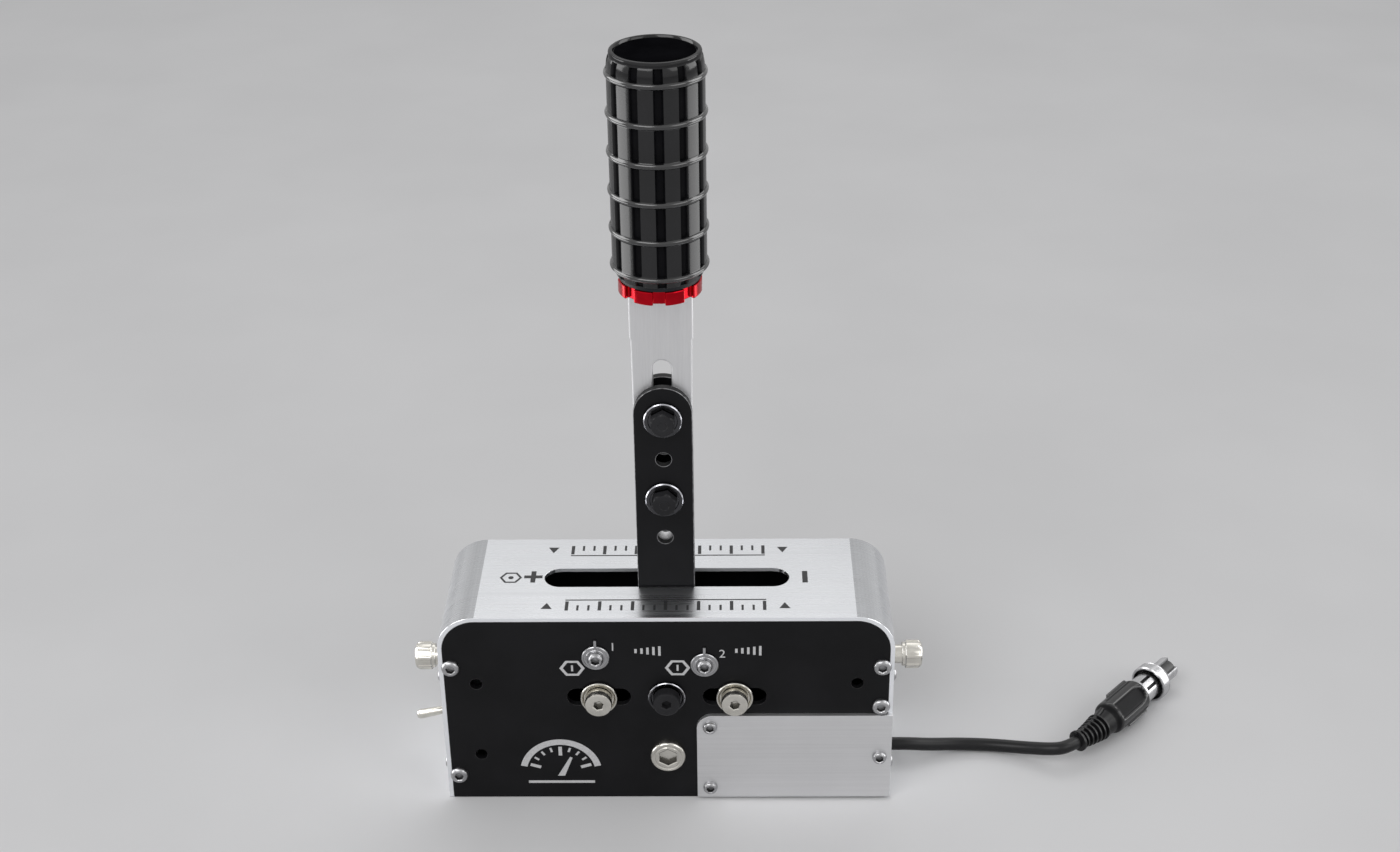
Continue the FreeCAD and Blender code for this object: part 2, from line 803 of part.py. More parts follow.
def lever_pieces():
    z = size.pivot_z
    bore = size.pivot_bolt + 2 * size.running_gap
    bush = size.pivot_bolt + 2 * size.bush_wall
    subpart("pivot_bush", tube("pivot_bush", bush, bore, 2 * fork_outside, (0, -fork_outside, z), "+y"))
    hub = tube("hub_spacer", size.fork_width, bush + 2 * size.running_gap, 2 * fork_inside,
               (0, -fork_inside, z), "+y")
    magnet_low = z - size.fork_width / 2 - size.magnet_stand_out
    pocket = rod("magnet_pocket", size.magnet + 2 * size.running_gap, size.magnet_height,
                 (0, 0, magnet_low), "+z")
    hub = cut("hub_with_pocket", hub, pocket)
    subpart("sensor_magnet", rod("sensor_magnet", size.magnet, size.magnet_height,
                                 (0, 0, magnet_low), "+z"))
    reach = size.carriage_wall + fork_outside + size.side_gap
    pin = rod("drive_pin", size.drive_pin - 2 * size.running_gap, 2 * reach, (0, -reach, axis_z), "+y")
    subpart("drive_pin", pin)
    half_x = size.fork_width / 2
    half_z = size.drive_spacer_height / 2
    spacer = block("drive_spacer_block", (-half_x, -fork_inside, axis_z - half_z),
                   (half_x, fork_inside, axis_z + half_z))
    hole = rod("drive_spacer_bore", size.drive_pin, 2 * fork_inside, (0, -fork_inside, axis_z), "+y")
    group("fork_spacers", [hub, cut("drive_spacer", spacer, hole)])
    bolts = []
    washers = []
    nuts = []
    face = fork_outside + size.height_washer_sheet
    for name, height in (("high", size.height_bolt_high_z), ("low", bolt_low_z)):
        length = 2 * face + size.height_head_height + size.thread_spare
        shank = rod(f"height_shank_{name}", size.height_bolt, length, (0, -face, height), "+y")
        head = hexagon(f"height_head_{name}", size.height_head_flats, size.height_head_height,
                       (0, -face, height), "-y")
        bolts.append(fuse(f"height_bolt_{name}", shank, head))
        hole = size.height_bolt + 2 * size.running_gap
        washers += [tube(f"height_washer_{name}_{side}", size.height_washer, hole,
                         size.height_washer_sheet, (0, sign * fork_outside, height),
                         "+y" if sign > 0 else "-y") for side, sign in SIDES]
        nuts.append(cut(f"height_nut_{name}",
                        hexagon(f"height_nut_outside_{name}", size.height_head_flats,
                                size.height_head_height, (0, face, height), "+y"),
                        rod(f"height_nut_bore_{name}", hole, size.height_head_height,
                            (0, face, height), "+y")))
    group("height_bolts", bolts)
    group("height_washers", washers)
    group("height_nuts", nuts)


# Handle

def handle_bar():
    body = Body("handle_bar")
    low, high = size.bar_low_width / 2, size.bar_high_width / 2
    tang = size.tang_width / 2
    outline = [(low, size.bar_bottom_z), (low, size.bar_step_z),
               (high, size.bar_step_z + size.bar_step_length), (high, foot_z), (tang, foot_z),
               (tang, sleeve_top_z - size.tang_depth)]
    profile = body.sketch("XZ_Plane", size.handle_bar_sheet / 2)
    profile.polygon(outline + [(-x, z) for x, z in reversed(outline)])
    body.pad(profile, size.handle_bar_sheet, Reversed=True)
    body.round_edges(size.bar_corner, [(low, 0, size.bar_bottom_z), (-low, 0, size.bar_bottom_z)],
                     Vector(0, 1, 0))
    slot = body.sketch("XZ_Plane", size.handle_bar_sheet / 2)
    slot.slot((0, bolt_low_z - size.height_travel_up), (0, size.slot_top_z - size.height_slot / 2),
              size.height_slot)
    body.pocket(slot, size.handle_bar_sheet)
    return body.done()


def collar():
    body = Body("collar")
    ring = body.sketch("XY_Plane", size.collar_z)
    ring.circle(0, 0, size.collar_diameter)
    body.pad(ring, size.collar_height)
    notch = body.sketch("XY_Plane", foot_z)
    rim = size.collar_diameter / 2
    half = size.collar_notch_width / 2
    notch.rectangle(rim - size.collar_notch_depth, -half, rim + CUT_OVER, half)
    body.repeat_round(body.pocket(notch, size.collar_height), COLLAR_NOTCHES)
    window = body.sketch("XY_Plane", foot_z)
    x = size.bar_high_width / 2 + size.slide_gap
    y = size.handle_bar_sheet / 2 + size.slide_gap
    window.rectangle(-x, -y, x, y)
    body.pocket(window, size.collar_height)
    return body.done()


def grip_core():
    """The hard core on the bar's tang, with the foot that the sleeve stands on."""
    body = Body("grip_core")
    foot = body.sketch("XY_Plane", foot_z)
    foot.circle(0, 0, size.collar_diameter - 2 * size.core_foot_step)
    body.pad(foot, size.core_foot_height)
    column = body.sketch("XY_Plane", sleeve_bottom_z)
    column.circle(0, 0, core_diameter)
    body.pad(column, size.sleeve_length)
    bore = body.sketch("XY_Plane", sleeve_top_z)
    x = size.tang_width / 2 + size.slide_gap
    y = size.handle_bar_sheet / 2 + size.slide_gap
    bore.rectangle(-x, -y, x, y)
    body.pocket(bore, size.sleeve_length + size.core_foot_height)
    return body.done()


def grip_sleeve():
    """The moulded sleeve with its long grooves and its round ribs."""
    body = Body("grip_sleeve")
    radius = size.sleeve_diameter / 2
    inside = core_diameter / 2 + size.running_gap
    shoulder = size.sleeve_shoulder
    profile = body.sketch("XZ_Plane", 0)
    profile.polygon([(inside, sleeve_bottom_z), (radius, sleeve_bottom_z),
                     (radius, sleeve_top_z - shoulder), (radius - shoulder, sleeve_top_z),
                     (inside, sleeve_top_z)])
    body.revolve(profile)
    groove = body.sketch("XY_Plane", sleeve_top_z)
    half = size.groove_width / 2
    groove.rectangle(radius - size.groove_depth, -half, radius + CUT_OVER, half)
    body.repeat_round(body.pocket(groove, size.sleeve_length), GRIP_GROOVES)
    ribs = body.sketch("XZ_Plane", 0)
    middle = (inside + radius) / 2
    half = size.rib_width / 2
    for step in range(GRIP_RIBS):
        centre = rib_first_z + (rib_last_z - rib_first_z) * step / (GRIP_RIBS - 1)
        ribs.rectangle(middle, centre - half, radius + size.rib_height, centre + half)
    body.revolve(ribs)
    return body.done()


def grip_cap():
    body = Body("grip_cap")
    rim = size.sleeve_diameter / 2 - size.cap_inset
    top = sleeve_top_z + size.cap_height
    profile = body.sketch("XZ_Plane", 0)
    profile.polygon([(0, sleeve_top_z), (rim - size.cap_foot, sleeve_top_z),
                     (rim, sleeve_top_z + size.cap_foot), (rim, top - size.cap_bevel),
                     (rim - size.cap_bevel, top), (rim - size.cap_rim, top),
                     (rim - size.cap_rim, top - size.cap_recess), (0, top - size.cap_recess)])
    body.revolve(profile)
    return body.done()


# Spring carriage

def carriage():
    z_low = axis_z - size.carriage_height / 2
    z_high = axis_z + size.carriage_height / 2
    half = size.carriage_half_length
    outside_y = window_y + size.carriage_wall
    solid = block("carriage_block", (-half, -outside_y, z_low), (half, outside_y, z_high))
    window = block("carriage_window", (-size.window_half_length, -window_y, z_low),
                   (size.window_half_length, window_y, z_high))
    slot_half = size.drive_pin / 2 + size.drive_pin_gap
    slot_rise = size.drive_pin / 2 + size.drive_slot_rise
    drive_slot = block("carriage_drive_slot", (-slot_half, -outside_y, axis_z - slot_rise),
                       (slot_half, outside_y, axis_z + slot_rise))
    cuts = [window, drive_slot]
    bosses = []
    for side, sign in SIDES:
        cuts.append(rod(f"carriage_pin_hole_{side}", size.guide_pin + 2 * size.running_gap, 2 * outside_y,
                        (sign * size.guide_pin_x, -outside_y, axis_z), "+y"))
        bosses.append(rod(f"carriage_boss_{side}", size.boss_diameter, size.boss_length,
                          (sign * half, 0, axis_z), "+x" if sign > 0 else "-x"))
    subpart("spring_carriage", cut("spring_carriage", fuse("carriage_solid", solid, *bosses), *cuts))

    ring_face = half_depth + size.side_gap + size.guide_ring_sheet
    pins = []
    rings = []
    for side, sign in SIDES:
        x = sign * size.guide_pin_x
        shaft = rod(f"guide_shaft_{side}", size.guide_pin, 2 * ring_face, (x, -ring_face, axis_z), "+y")
        heads = []
        sockets = []
        for face, out, back in ((-ring_face, "-y", "+y"), (ring_face, "+y", "-y")):
            toward = -1 if out == "-y" else 1
            tip = face + toward * size.guide_pin_reach
            heads.append(rod(f"guide_head_{side}_{out[0]}", size.guide_pin_head, size.guide_pin_reach,
                             (x, face, axis_z), out))
            sockets.append(hexagon(f"guide_socket_{side}_{out[0]}", size.guide_pin_hex,
                                   size.guide_pin_reach / 2, (x, tip, axis_z), back))
            ring_at = (x, toward * (half_depth + size.side_gap), axis_z)
            rings.append(tube(f"guide_ring_{side}_{out[0]}", size.guide_ring,
                              size.guide_pin + 2 * size.running_gap, size.guide_ring_sheet, ring_at, out))
        pins.append(cut(f"guide_pin_{side}", fuse(f"guide_solid_{side}", shaft, *heads), *sockets))
    group("guide_pins", pins)
    group("guide_rings", rings)
    tip_gap = outside_y + size.side_gap
    ring = size.guide_ring_sheet
    thread = rod("detent_thread_rod", size.detent_thread, half_depth + ring - tip_gap,
                 (0, -half_depth - ring, axis_z), "+y")
    head = rod("detent_head", size.guide_pin_head, size.guide_pin_reach,
               (0, -half_depth - ring, axis_z), "-y")
    socket = hexagon("detent_socket", size.guide_pin_hex, size.guide_pin_reach / 2,
                     (0, -half_depth - ring - size.guide_pin_reach, axis_z), "+y")
    subpart("friction_plunger", cut("friction_plunger", fuse("detent_solid", thread, head), socket))
    subpart("plunger_ring", tube("plunger_ring", size.guide_ring,
                                 size.detent_thread + 2 * size.running_gap, ring,
                                 (0, -half_depth, axis_z), "-y"))


# Springs, seats, rods and knobs

def arcs_between(start, start_way, end, end_way):
    """Two tangent arcs that join two points with given directions."""
    chord = end - start
    ways = start_way + end_way
    square = 2 * (1 - start_way.dot(end_way))
    along = chord.dot(ways)
    if square < 1e-9:
        reach = chord.dot(chord) / (4 * chord.dot(end_way))
    else:
        root = math.sqrt(along * along + square * chord.dot(chord))
        reach = (root - along) / square
    middle = (start + end + (start_way - end_way) * reach) / 2
    return arc_from(start, start_way, middle), arc_from(end, end_way * -1, middle)


def arc_from(point, way, other):
    """The arc that leaves a point in a direction and ends at another point."""
    chord = other - point
    normal = way.cross(chord).cross(way).normalize()
    radius = chord.dot(chord) / (2 * chord.dot(normal))
    centre = point + normal * radius
    bulge = ((point + other) / 2 - centre).normalize() * radius
    return Part.Arc(point, centre + bulge, other)


def spring(side, sign):
    """An open coil spring along X between the carriage and its seat."""
    radius = float(size.spring_outer - size.spring_wire) / 2
    wire = float(size.spring_wire)
    start = float(size.carriage_half_length) + wire / 2 + float(size.side_gap)
    end = float(size.seat_x) - wire / 2 - float(size.side_gap)
    turns = float(size.spring_turns)
    steps = int(round(4 * turns))
    rise = (end - start) / turns

    def at(turn):
        angle = 2 * math.pi * turn
        x = start + rise * turn
        return Vector(sign * x, radius * math.cos(angle), float(axis_z) + radius * math.sin(angle))

    def way(turn):
        angle = 2 * math.pi * turn
        return Vector(sign * rise, -2 * math.pi * radius * math.sin(angle),
                      2 * math.pi * radius * math.cos(angle)).normalize()

    points = [at(step / 4) for step in range(steps + 1)]
    ways = [way(step / 4) for step in range(steps + 1)]
    lead = wire
    edges = [Part.LineSegment(points[0] - ways[0] * lead, points[0]).toShape()]
    for step in range(steps):
        first, last = arcs_between(points[step], ways[step], points[step + 1], ways[step + 1])
        edges.append(first.toShape())
        edges.append(last.toShape())
    edges.append(Part.LineSegment(points[-1], points[-1] + ways[-1] * lead).toShape())
    print(f"spring {side}: least gap between turns {rise - wire:.2f} mm")
    return pipe(edges, points[0] - ways[0] * lead, ways[0], wire)


def pipe(edges, start, way, diameter):
    section = Part.Wire([Part.Circle(start, way, diameter / 2).toShape()])
    shell = Part.BRepOffsetAPI.MakePipeShell(Part.Wire(Part.__sortEdges__(edges)))
    shell.add(section)
    shell.build()
    shell.makeSolid()
    return shell.shape()


def shape_part(label, shape):
    item = doc.addObject("Part::Feature", label)
    item.Shape = shape
    item.Placement = shape.Placement
    return subpart(label, item)


def adjuster(side, sign):
    """One spring with its sliding seat, threaded rod and knob."""
    out = "+x" if sign > 0 else "-x"
    shape_part(f"spring_{side}", spring(side, sign))
    inner, outer = sign * size.seat_x, sign * (size.seat_x + size.seat_thickness)
    low, high = (inner, outer) if sign > 0 else (outer, inner)
    y = plate_inside - size.side_gap
    half = size.seat_height / 2
    seat = block(f"spring_seat_{side}_block", (low, -y, axis_z - half), (high, y, axis_z + half))
    bore = rod(f"spring_seat_{side}_bore", size.rod_diameter + 2 * size.running_gap, size.seat_thickness,
               (inner, 0, axis_z), out)
    subpart(f"spring_seat_{side}", cut(f"spring_seat_{side}", seat, bore))
    shaft = rod(f"adjuster_rod_{side}_shaft", size.rod_diameter,
                size.knob_start + size.knob_length / 2 - size.rod_tip_x,
                (sign * size.rod_tip_x, 0, axis_z), out)
    stop = rod(f"adjuster_rod_{side}_collar", size.rod_collar, size.rod_collar_length,
               (sign * (block_inside - size.side_gap - size.rod_collar_length), 0, axis_z), out)
    subpart(f"adjuster_rod_{side}", fuse(f"adjuster_rod_{side}", shaft, stop))
    step = taper(f"knob_{side}_step", size.knob_diameter - 2 * size.knob_step, size.knob_diameter,
                 size.knob_step, (sign * size.knob_start, 0, axis_z), out)
    drum_start = sign * (size.knob_start + size.knob_step)
    drum = rod(f"knob_{side}_drum", size.knob_diameter, size.knob_length - 2 * size.knob_step,
               (drum_start, 0, axis_z), out)
    end_start = sign * (size.knob_start + size.knob_length - size.knob_step)
    end = taper(f"knob_{side}_end", size.knob_diameter, size.knob_diameter - 2 * size.knob_groove,
                size.knob_step, (end_start, 0, axis_z), out)
    hole = rod(f"knob_{side}_hole", size.rod_diameter + 2 * size.running_gap, size.knob_length / 2,
               (sign * size.knob_start, 0, axis_z), out)
    subpart(f"knob_{side}", cut(f"knob_{side}", fuse(f"knob_{side}_solid", step, drum, end), hole))


# Mode selectors

def selector(side, sign, x, z):
    x = sign * x
    name = f"selector_{side}"
    face = -half_depth
    washer = rod(name + "_washer", size.selector_washer, size.selector_washer_sheet, (x, face, z), "-y")
    half = size.selector_pointer_width / 2
    pointer = block(name + "_pointer", (x - half, face - size.selector_washer_sheet, z),
                    (x + half, face, z + size.selector_washer / 2 + size.selector_pointer))
    top = face - size.selector_washer_sheet
    head = taper(name + "_head", size.selector_head, SELECTOR_TOP * size.selector_head,
                 size.selector_head_height, (x, top, z), "-y")
    shaft = rod(name + "_shaft", size.selector_shaft, size.plate_sheet + size.selector_cam_sheet,
                (x, face, z), "+y")
    socket = hexagon(name + "_socket", size.screw_hex, size.screw_hex_depth,
                     (x, top - size.selector_head_height, z), "+y")
    subpart(name, cut(name, fuse(name + "_solid", washer, pointer, head, shaft), socket))
    cam_low = -plate_inside + size.running_gap
    cam_high = cam_low + size.selector_cam_sheet - size.running_gap
    disc_length = size.selector_cam_sheet - size.running_gap
    disc = rod(name + "_cam_disc", 2 * size.selector_shaft, disc_length, (x, cam_low, z), "+y")
    arm = block(name + "_cam_arm", (x, cam_low, z - size.selector_shaft / 2),
                (x + size.selector_cam_length, cam_high, z + size.selector_shaft / 2))
    hole = rod(name + "_cam_hole", size.selector_shaft + 2 * size.running_gap, disc_length,
               (x, cam_low, z), "+y")
    subpart(f"selector_cam_{side}", cut(f"selector_cam_{side}", fuse(name + "_cam_solid", disc, arm), hole))


# Toggle switch in the left end wall

def toggle():
    z = size.toggle_z
    wall = -half_length
    end_x = wall - size.toggle_bush_length + size.cover_sheet
    barrel = rod("toggle_barrel", size.toggle_bush, size.toggle_bush_length, (end_x, 0, z), "+x")
    inner = wall + size.cover_sheet
    half_y = size.toggle_body_width / 2
    half_z = size.toggle_body_height / 2
    case = block("toggle_case", (inner, -half_y, z - half_z),
                 (inner + size.toggle_body_length, half_y, z + half_z))
    throat = taper("toggle_throat", size.toggle_throat, size.toggle_throat_end,
                   size.toggle_bush_length + size.cover_sheet, (end_x, 0, z), "+x")
    pivot_x = wall + size.cover_sheet / 2
    hole = rod("toggle_pin_hole", size.toggle_pin + 2 * size.running_gap, size.toggle_body_width,
               (pivot_x, -half_y, z), "+y")
    subpart("toggle_switch", cut("toggle_switch", fuse("toggle_solid", barrel, case), throat, hole))
    nut = cut("toggle_nut", hexagon("toggle_nut_outside", size.toggle_nut_flats, size.toggle_nut_height,
                                    (wall - size.toggle_nut_height, 0, z), "+x"),
              rod("toggle_nut_bore", size.toggle_bush + 2 * size.running_gap, size.toggle_nut_height,
                  (wall - size.toggle_nut_height, 0, z), "+x"))
    subpart("toggle_nut", nut)
    length = size.toggle_bat_reach
    stem = taper("toggle_bat_stem", size.toggle_bat_neck, size.toggle_bat_end, length, (0, 0, 0), "-x")
    tip = ball("toggle_bat_tip", size.toggle_bat_tip, (-length, 0, 0))
    root = ball("toggle_bat_root", size.toggle_ball, (0, 0, 0))
    pin = rod("toggle_bat_pin", size.toggle_pin, size.toggle_pin_length,
              (0, -size.toggle_pin_length / 2, 0), "+y")
    bat = fuse("toggle_bat", stem, tip, root, pin)
    place(bat, (pivot_x, 0, z))
    down = Rotation(Vector(0, -1, 0), float(size.toggle_rest_angle))
    bat.Placement = Placement(bat.Placement.Base, down)
    bind(bat, "Placement.Rotation.Angle", size.toggle_rest_angle)
    return subpart("toggle_bat", bat)


# Boards inside

def board(label, x, length, width, chips):
    """A circuit board; returns its four posts and the parts that stand on it."""
    low = size.base_sheet
    top = low + size.board_post_height
    posts = []
    half_x, half_y = length / 2, width / 2
    inset = size.board_post / 2
    for sx in (-1, 1):
        for sy in (-1, 1):
            name = f"{label}_post_{sx}_{sy}".replace("-", "n")
            at = (x + sx * (half_x - inset), sy * (half_y - inset), low)
            posts.append(rod(name, size.board_post, size.board_post_height, at, "+z"))
    subpart(label, block(label, (x - half_x, -half_y, top), (x + half_x, half_y, top + size.board_sheet)))
    surface = top + size.board_sheet
    parts = [block(f"{label}_part_{number}", (x + cx - w / 2, cy - d / 2, surface),
                   (x + cx + w / 2, cy + d / 2, surface + tall))
             for number, (cx, cy, w, d, tall) in enumerate(chips)]
    return posts, parts


def boards():
    """The sensor board under the lever and the controller board, with their posts and parts."""
    sensor_posts, sensor_parts = board("sensor_board", as_size(0), size.sensor_board_length,
                                       size.sensor_board_width, SENSOR_PARTS)
    main_posts, main_parts = board("main_board", size.main_board_x, size.main_board_length,
                                   size.main_board_width, MAIN_BOARD_PARTS)
    group("board_posts", sensor_posts + main_posts)
    group("board_parts", sensor_parts + main_parts)


# Each part on a board: its middle, its width and depth, and its height
SENSOR_PARTS = [(0, 0, 4, 3, 1)]
MAIN_BOARD_PARTS = [(-6, 4, 12, 12, 1.6), (10, -12, 8, 10, 6), (8, 12, 6, 5, 2)]


# Cord, strain relief and plug

ROUTE = [
    (101.5, -4.0, 8.0),
    (110.0, -4.0, 8.0),
    (121.0, -1.4, 5.4),
    (134.0, 1.2, 3.7),
    (150.0, 0.9, 3.3),
    (164.5, -3.2, 4.8),
    (177.04, -9.25, 8.5),
    (183.59, -8.57, 9.2),
    (188.49, -4.6, 9.2),
]
RUN_SHARE = 0.45


def cord():
    points = [Vector(*point) for point in ROUTE]
    diameter = float(size.cord_diameter)
    edges = []
    last = points[0]
    radii = []
    for before, corner, after in zip(points, points[1:], points[2:]):
        into = (corner - before).normalize()
        out = (after - corner).normalize()
        run = RUN_SHARE * min((corner - before).Length, (after - corner).Length)
        turn = into.getAngle(out)
        radius = run / math.tan(turn / 2)
        radii.append(round(radius, 1))
        start, end = corner - into * run, corner + out * run
        side = (out - into).normalize()
        bulge = corner + side * (radius / math.cos(turn / 2) - radius)
        edges.append(Part.LineSegment(last, start).toShape())
        edges.append(Part.Arc(start, bulge, end).toShape())
        last = end
    edges.append(Part.LineSegment(last, points[-1]).toShape())
    length = sum(edge.Length for edge in edges)
    solid = pipe(edges, points[0], points[1] - points[0], diameter)
    section = math.pi * diameter * diameter / 4
    print(f"cord: radii {radii} mm, length {length:.1f} mm, volume ratio "
          f"{solid.Volume / (section * length):.4f}")
    shape_part("cord", solid)


def oriented(shape, at, heading):
    """Turns a shape made along +X to a heading and puts it at a point."""
    result = shape.copy()
    result.Placement = Placement(at, Rotation(Vector(0, 0, 1), heading))
    return result


def revolved(profile):
    """A solid turned round the X axis from points of distance along it and radius."""
    points = [Vector(x, r, 0) for x, r in profile]
    wire = Part.makePolygon(points + [points[0]])
    return Part.Face(wire).revolve(Vector(0, 0, 0), Vector(1, 0, 0), 360)


def plug():
    """The bent strain relief with its ribs, and the round plug on its heading."""
    end = Vector(*ROUTE[-1])
    bend = float(size.boot_bend)
    turn = float(size.boot_turn)
    heading = float(size.plug_heading)
    first = heading - turn

    def along(share):
        angle = math.radians(first + turn * share)
        begin = math.radians(first)
        offset = Vector(math.sin(angle) - math.sin(begin), math.cos(begin) - math.cos(angle), 0)
        return end + offset * bend, math.degrees(angle)

    middle, _ = along(0.5)
    tail, _ = along(1)
    spine = [Part.Arc(end, middle, tail).toShape()]
    way = Vector(math.cos(math.radians(first)), math.sin(math.radians(first)), 0)
    boot = pipe(spine, end, way, float(size.boot_core))
    step = bend * math.radians(turn) / BOOT_RIBS
    wide = BOOT_RIB_SHARE * step
    grow = (float(size.boot_rib_end) - float(size.boot_rib_start)) / (BOOT_RIBS - 1)
    for rib in range(BOOT_RIBS):
        centre, angle = along((rib + 0.5) / BOOT_RIBS)
        radius = (float(size.boot_rib_start) + grow * rib) / 2
        half = wide / 2
        edge = float(size.boot_rib_bevel)
        disc = revolved([(-half, 0), (-half, radius - edge), (-half + edge, radius),
                         (half - edge, radius), (half, radius - edge), (half, 0)])
        boot = boot.fuse(oriented(disc, centre, angle))
    shape_part("plug_boot", boot)

    radius = float(size.plug_body_diameter) / 2
    length = float(size.plug_body_length)
    taper_end = float(size.plug_body_taper)
    bevel = float(size.plug_body_bevel)
    body = revolved([(0, 0), (0, float(size.boot_rib_end) / 2), (taper_end, radius),
                     (length - bevel, radius), (length, radius - bevel), (length, 0)])
    shape_part("plug_body", oriented(body, tail, heading))

    neck = float(size.plug_neck_diameter) / 2
    nose = float(size.plug_nose_diameter) / 2
    wall = float(size.plug_shell_wall)
    bevel = float(size.plug_nose_bevel)
    floor = length + float(size.plug_shell_floor)
    reach = length + float(size.plug_shell_length)
    ring_start = length + float(size.coupling_start)
    ring_end = ring_start + float(size.coupling_length)
    step = ring_end + float(size.side_gap)
    shell = revolved([(length, 0), (length, neck), (step, neck), (step, nose), (reach - bevel, nose),
                      (reach, nose - bevel), (reach, neck - wall), (floor, neck - wall), (floor, 0)])
    opening = float(size.plug_window_width)
    window = Part.makeBox(float(size.plug_window_length), opening, 2 * wall,
                          Vector(length + float(size.plug_window_start), -opening / 2, neck - wall))
    shape_part("plug_shell", oriented(shell.cut(window), tail, heading))

    inner = neck - wall - float(size.running_gap)
    face = reach - float(size.insert_recess)
    insert = revolved([(floor, 0), (floor, inner), (face, inner), (face, 0)])
    pin_radius = float(size.plug_pin) / 2
    circle = float(size.plug_pin_circle) / 2
    pin_length = float(size.plug_pin_length)
    for number in range(PLUG_PINS):
        angle = math.radians(PLUG_PIN_SPREAD * number - 90)
        at = Vector(floor, circle * math.cos(angle), circle * math.sin(angle))
        insert = insert.fuse(Part.makeCylinder(pin_radius, face - floor + pin_length, at, Vector(1, 0, 0)))
    shape_part("plug_insert", oriented(insert, tail, heading))

    outer = float(size.coupling_diameter) / 2
    bore = neck + 2 * float(size.running_gap)
    bevel = float(size.coupling_bevel)
    ring = revolved([(ring_start, bore), (ring_start, outer - bevel), (ring_start + bevel, outer),
                     (ring_end - bevel, outer), (ring_end, outer - bevel), (ring_end, bore)])
    shape_part("coupling_ring", oriented(ring, tail, heading))


def gland():
    flange_x = half_length + size.gland_flange_sheet
    length = size.gland_flange_sheet + size.cover_sheet + size.end_block_width
    neck = rod("gland_neck", size.gland_neck, length, (flange_x, size.gland_y, size.gland_z), "-x")
    flange = rod("gland_flange", size.gland_flange, size.gland_flange_sheet,
                 (flange_x, size.gland_y, size.gland_z), "-x")
    subpart("cord_gland", fuse("cord_gland", neck, flange))


top_cover()
side_plate("front_plate", True)
side_plate("rear_plate", False)
badge_plate()
base_plate()
for side, sign in SIDES:
    end_block(side, sign)
fasteners()
pivot()
fork_bar("fork_bar_front", -1)
fork_bar("fork_bar_rear", 1)
lever_pieces()
handle_bar()
collar()
grip_core()
grip_sleeve()
grip_cap()
carriage()
for side, sign in SIDES:
    adjuster(side, sign)
for (side, _), (sign, x, z) in zip(SIDES, SELECTORS):
    selector(side, sign, x, z)
toggle()
boards()
gland()
cord()
plug()
doc.recompute()

for item in doc.Objects:
    if "Invalid" in item.State or "Error" in item.State:
        raise RuntimeError(f"{item.Label}: {item.State}")
os.makedirs("parts", exist_ok=True)
for item in SUBPARTS:
    shape = item.Shape
    if shape.isNull() or not shape.isValid() or not shape.Solids:
        raise RuntimeError(f"{item.Label} has no valid shape")
    shape.exportStep(f"parts/{item.Label}.step")
print(f"{len(SUBPARTS)} sub-parts")
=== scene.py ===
import json
from math import cos, pi, radians, sin, sqrt

import bmesh
import bpy
from mathutils import Matrix, Vector
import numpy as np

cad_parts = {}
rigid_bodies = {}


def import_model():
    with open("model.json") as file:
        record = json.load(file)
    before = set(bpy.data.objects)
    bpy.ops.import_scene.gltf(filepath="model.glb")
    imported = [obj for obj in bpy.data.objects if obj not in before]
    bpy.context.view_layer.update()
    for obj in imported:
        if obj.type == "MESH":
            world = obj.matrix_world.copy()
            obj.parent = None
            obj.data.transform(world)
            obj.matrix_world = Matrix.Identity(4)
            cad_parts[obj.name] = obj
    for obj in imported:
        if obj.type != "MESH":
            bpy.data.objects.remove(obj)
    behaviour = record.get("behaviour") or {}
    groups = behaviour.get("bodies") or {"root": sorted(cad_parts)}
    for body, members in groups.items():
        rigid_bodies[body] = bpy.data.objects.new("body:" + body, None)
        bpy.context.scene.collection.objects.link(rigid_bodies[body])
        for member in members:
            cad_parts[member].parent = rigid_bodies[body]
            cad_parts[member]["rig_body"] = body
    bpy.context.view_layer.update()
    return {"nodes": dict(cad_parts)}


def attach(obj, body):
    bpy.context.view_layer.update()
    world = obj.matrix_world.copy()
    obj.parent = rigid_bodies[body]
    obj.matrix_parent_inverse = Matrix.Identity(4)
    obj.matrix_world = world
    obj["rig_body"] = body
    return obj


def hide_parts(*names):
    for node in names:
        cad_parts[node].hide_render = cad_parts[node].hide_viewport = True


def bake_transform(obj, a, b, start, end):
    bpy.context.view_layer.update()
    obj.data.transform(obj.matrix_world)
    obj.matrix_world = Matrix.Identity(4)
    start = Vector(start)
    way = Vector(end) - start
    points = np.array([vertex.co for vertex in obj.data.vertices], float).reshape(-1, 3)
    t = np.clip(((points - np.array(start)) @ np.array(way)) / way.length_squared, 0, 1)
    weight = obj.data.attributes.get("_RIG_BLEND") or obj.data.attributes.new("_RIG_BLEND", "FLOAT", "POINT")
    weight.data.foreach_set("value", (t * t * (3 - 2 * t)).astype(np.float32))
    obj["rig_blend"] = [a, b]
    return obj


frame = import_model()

bl_info = {
    "name": "Sim racing handbrake",
    "version": (1, 0, 0),
    "blender": (4, 5, 0),
    "location": "3D Viewport > Sidebar > Handbrake",
    "description": "Finishes, turned parts, cord, plug and studio of a sim racing handbrake",
    "category": "Add Mesh",
}

MM = 0.001
X, Y, Z = Vector((1, 0, 0)), Vector((0, 1, 0)), Vector((0, 0, 1))
SIDES = (("left", -1), ("right", 1))

# Places that several pieces share, in mm
HALF_LENGTH, HALF_DEPTH, COVER_TOP = 100, 32, 98
PIN_HEIGHT, PIN_REACH = 56, 30
PIVOT_HEIGHT = 24.3
TOGGLE_HEIGHT = 26.5
BADGE_FACE = 34
FORK_FACE = 7.05
WASHER_THICKNESS = 1.6


# Sizes and colours that a user would change

def length(label, description, default):
    return bpy.props.FloatProperty(name=label, description=description, default=default, unit="LENGTH",
                                   precision=5)


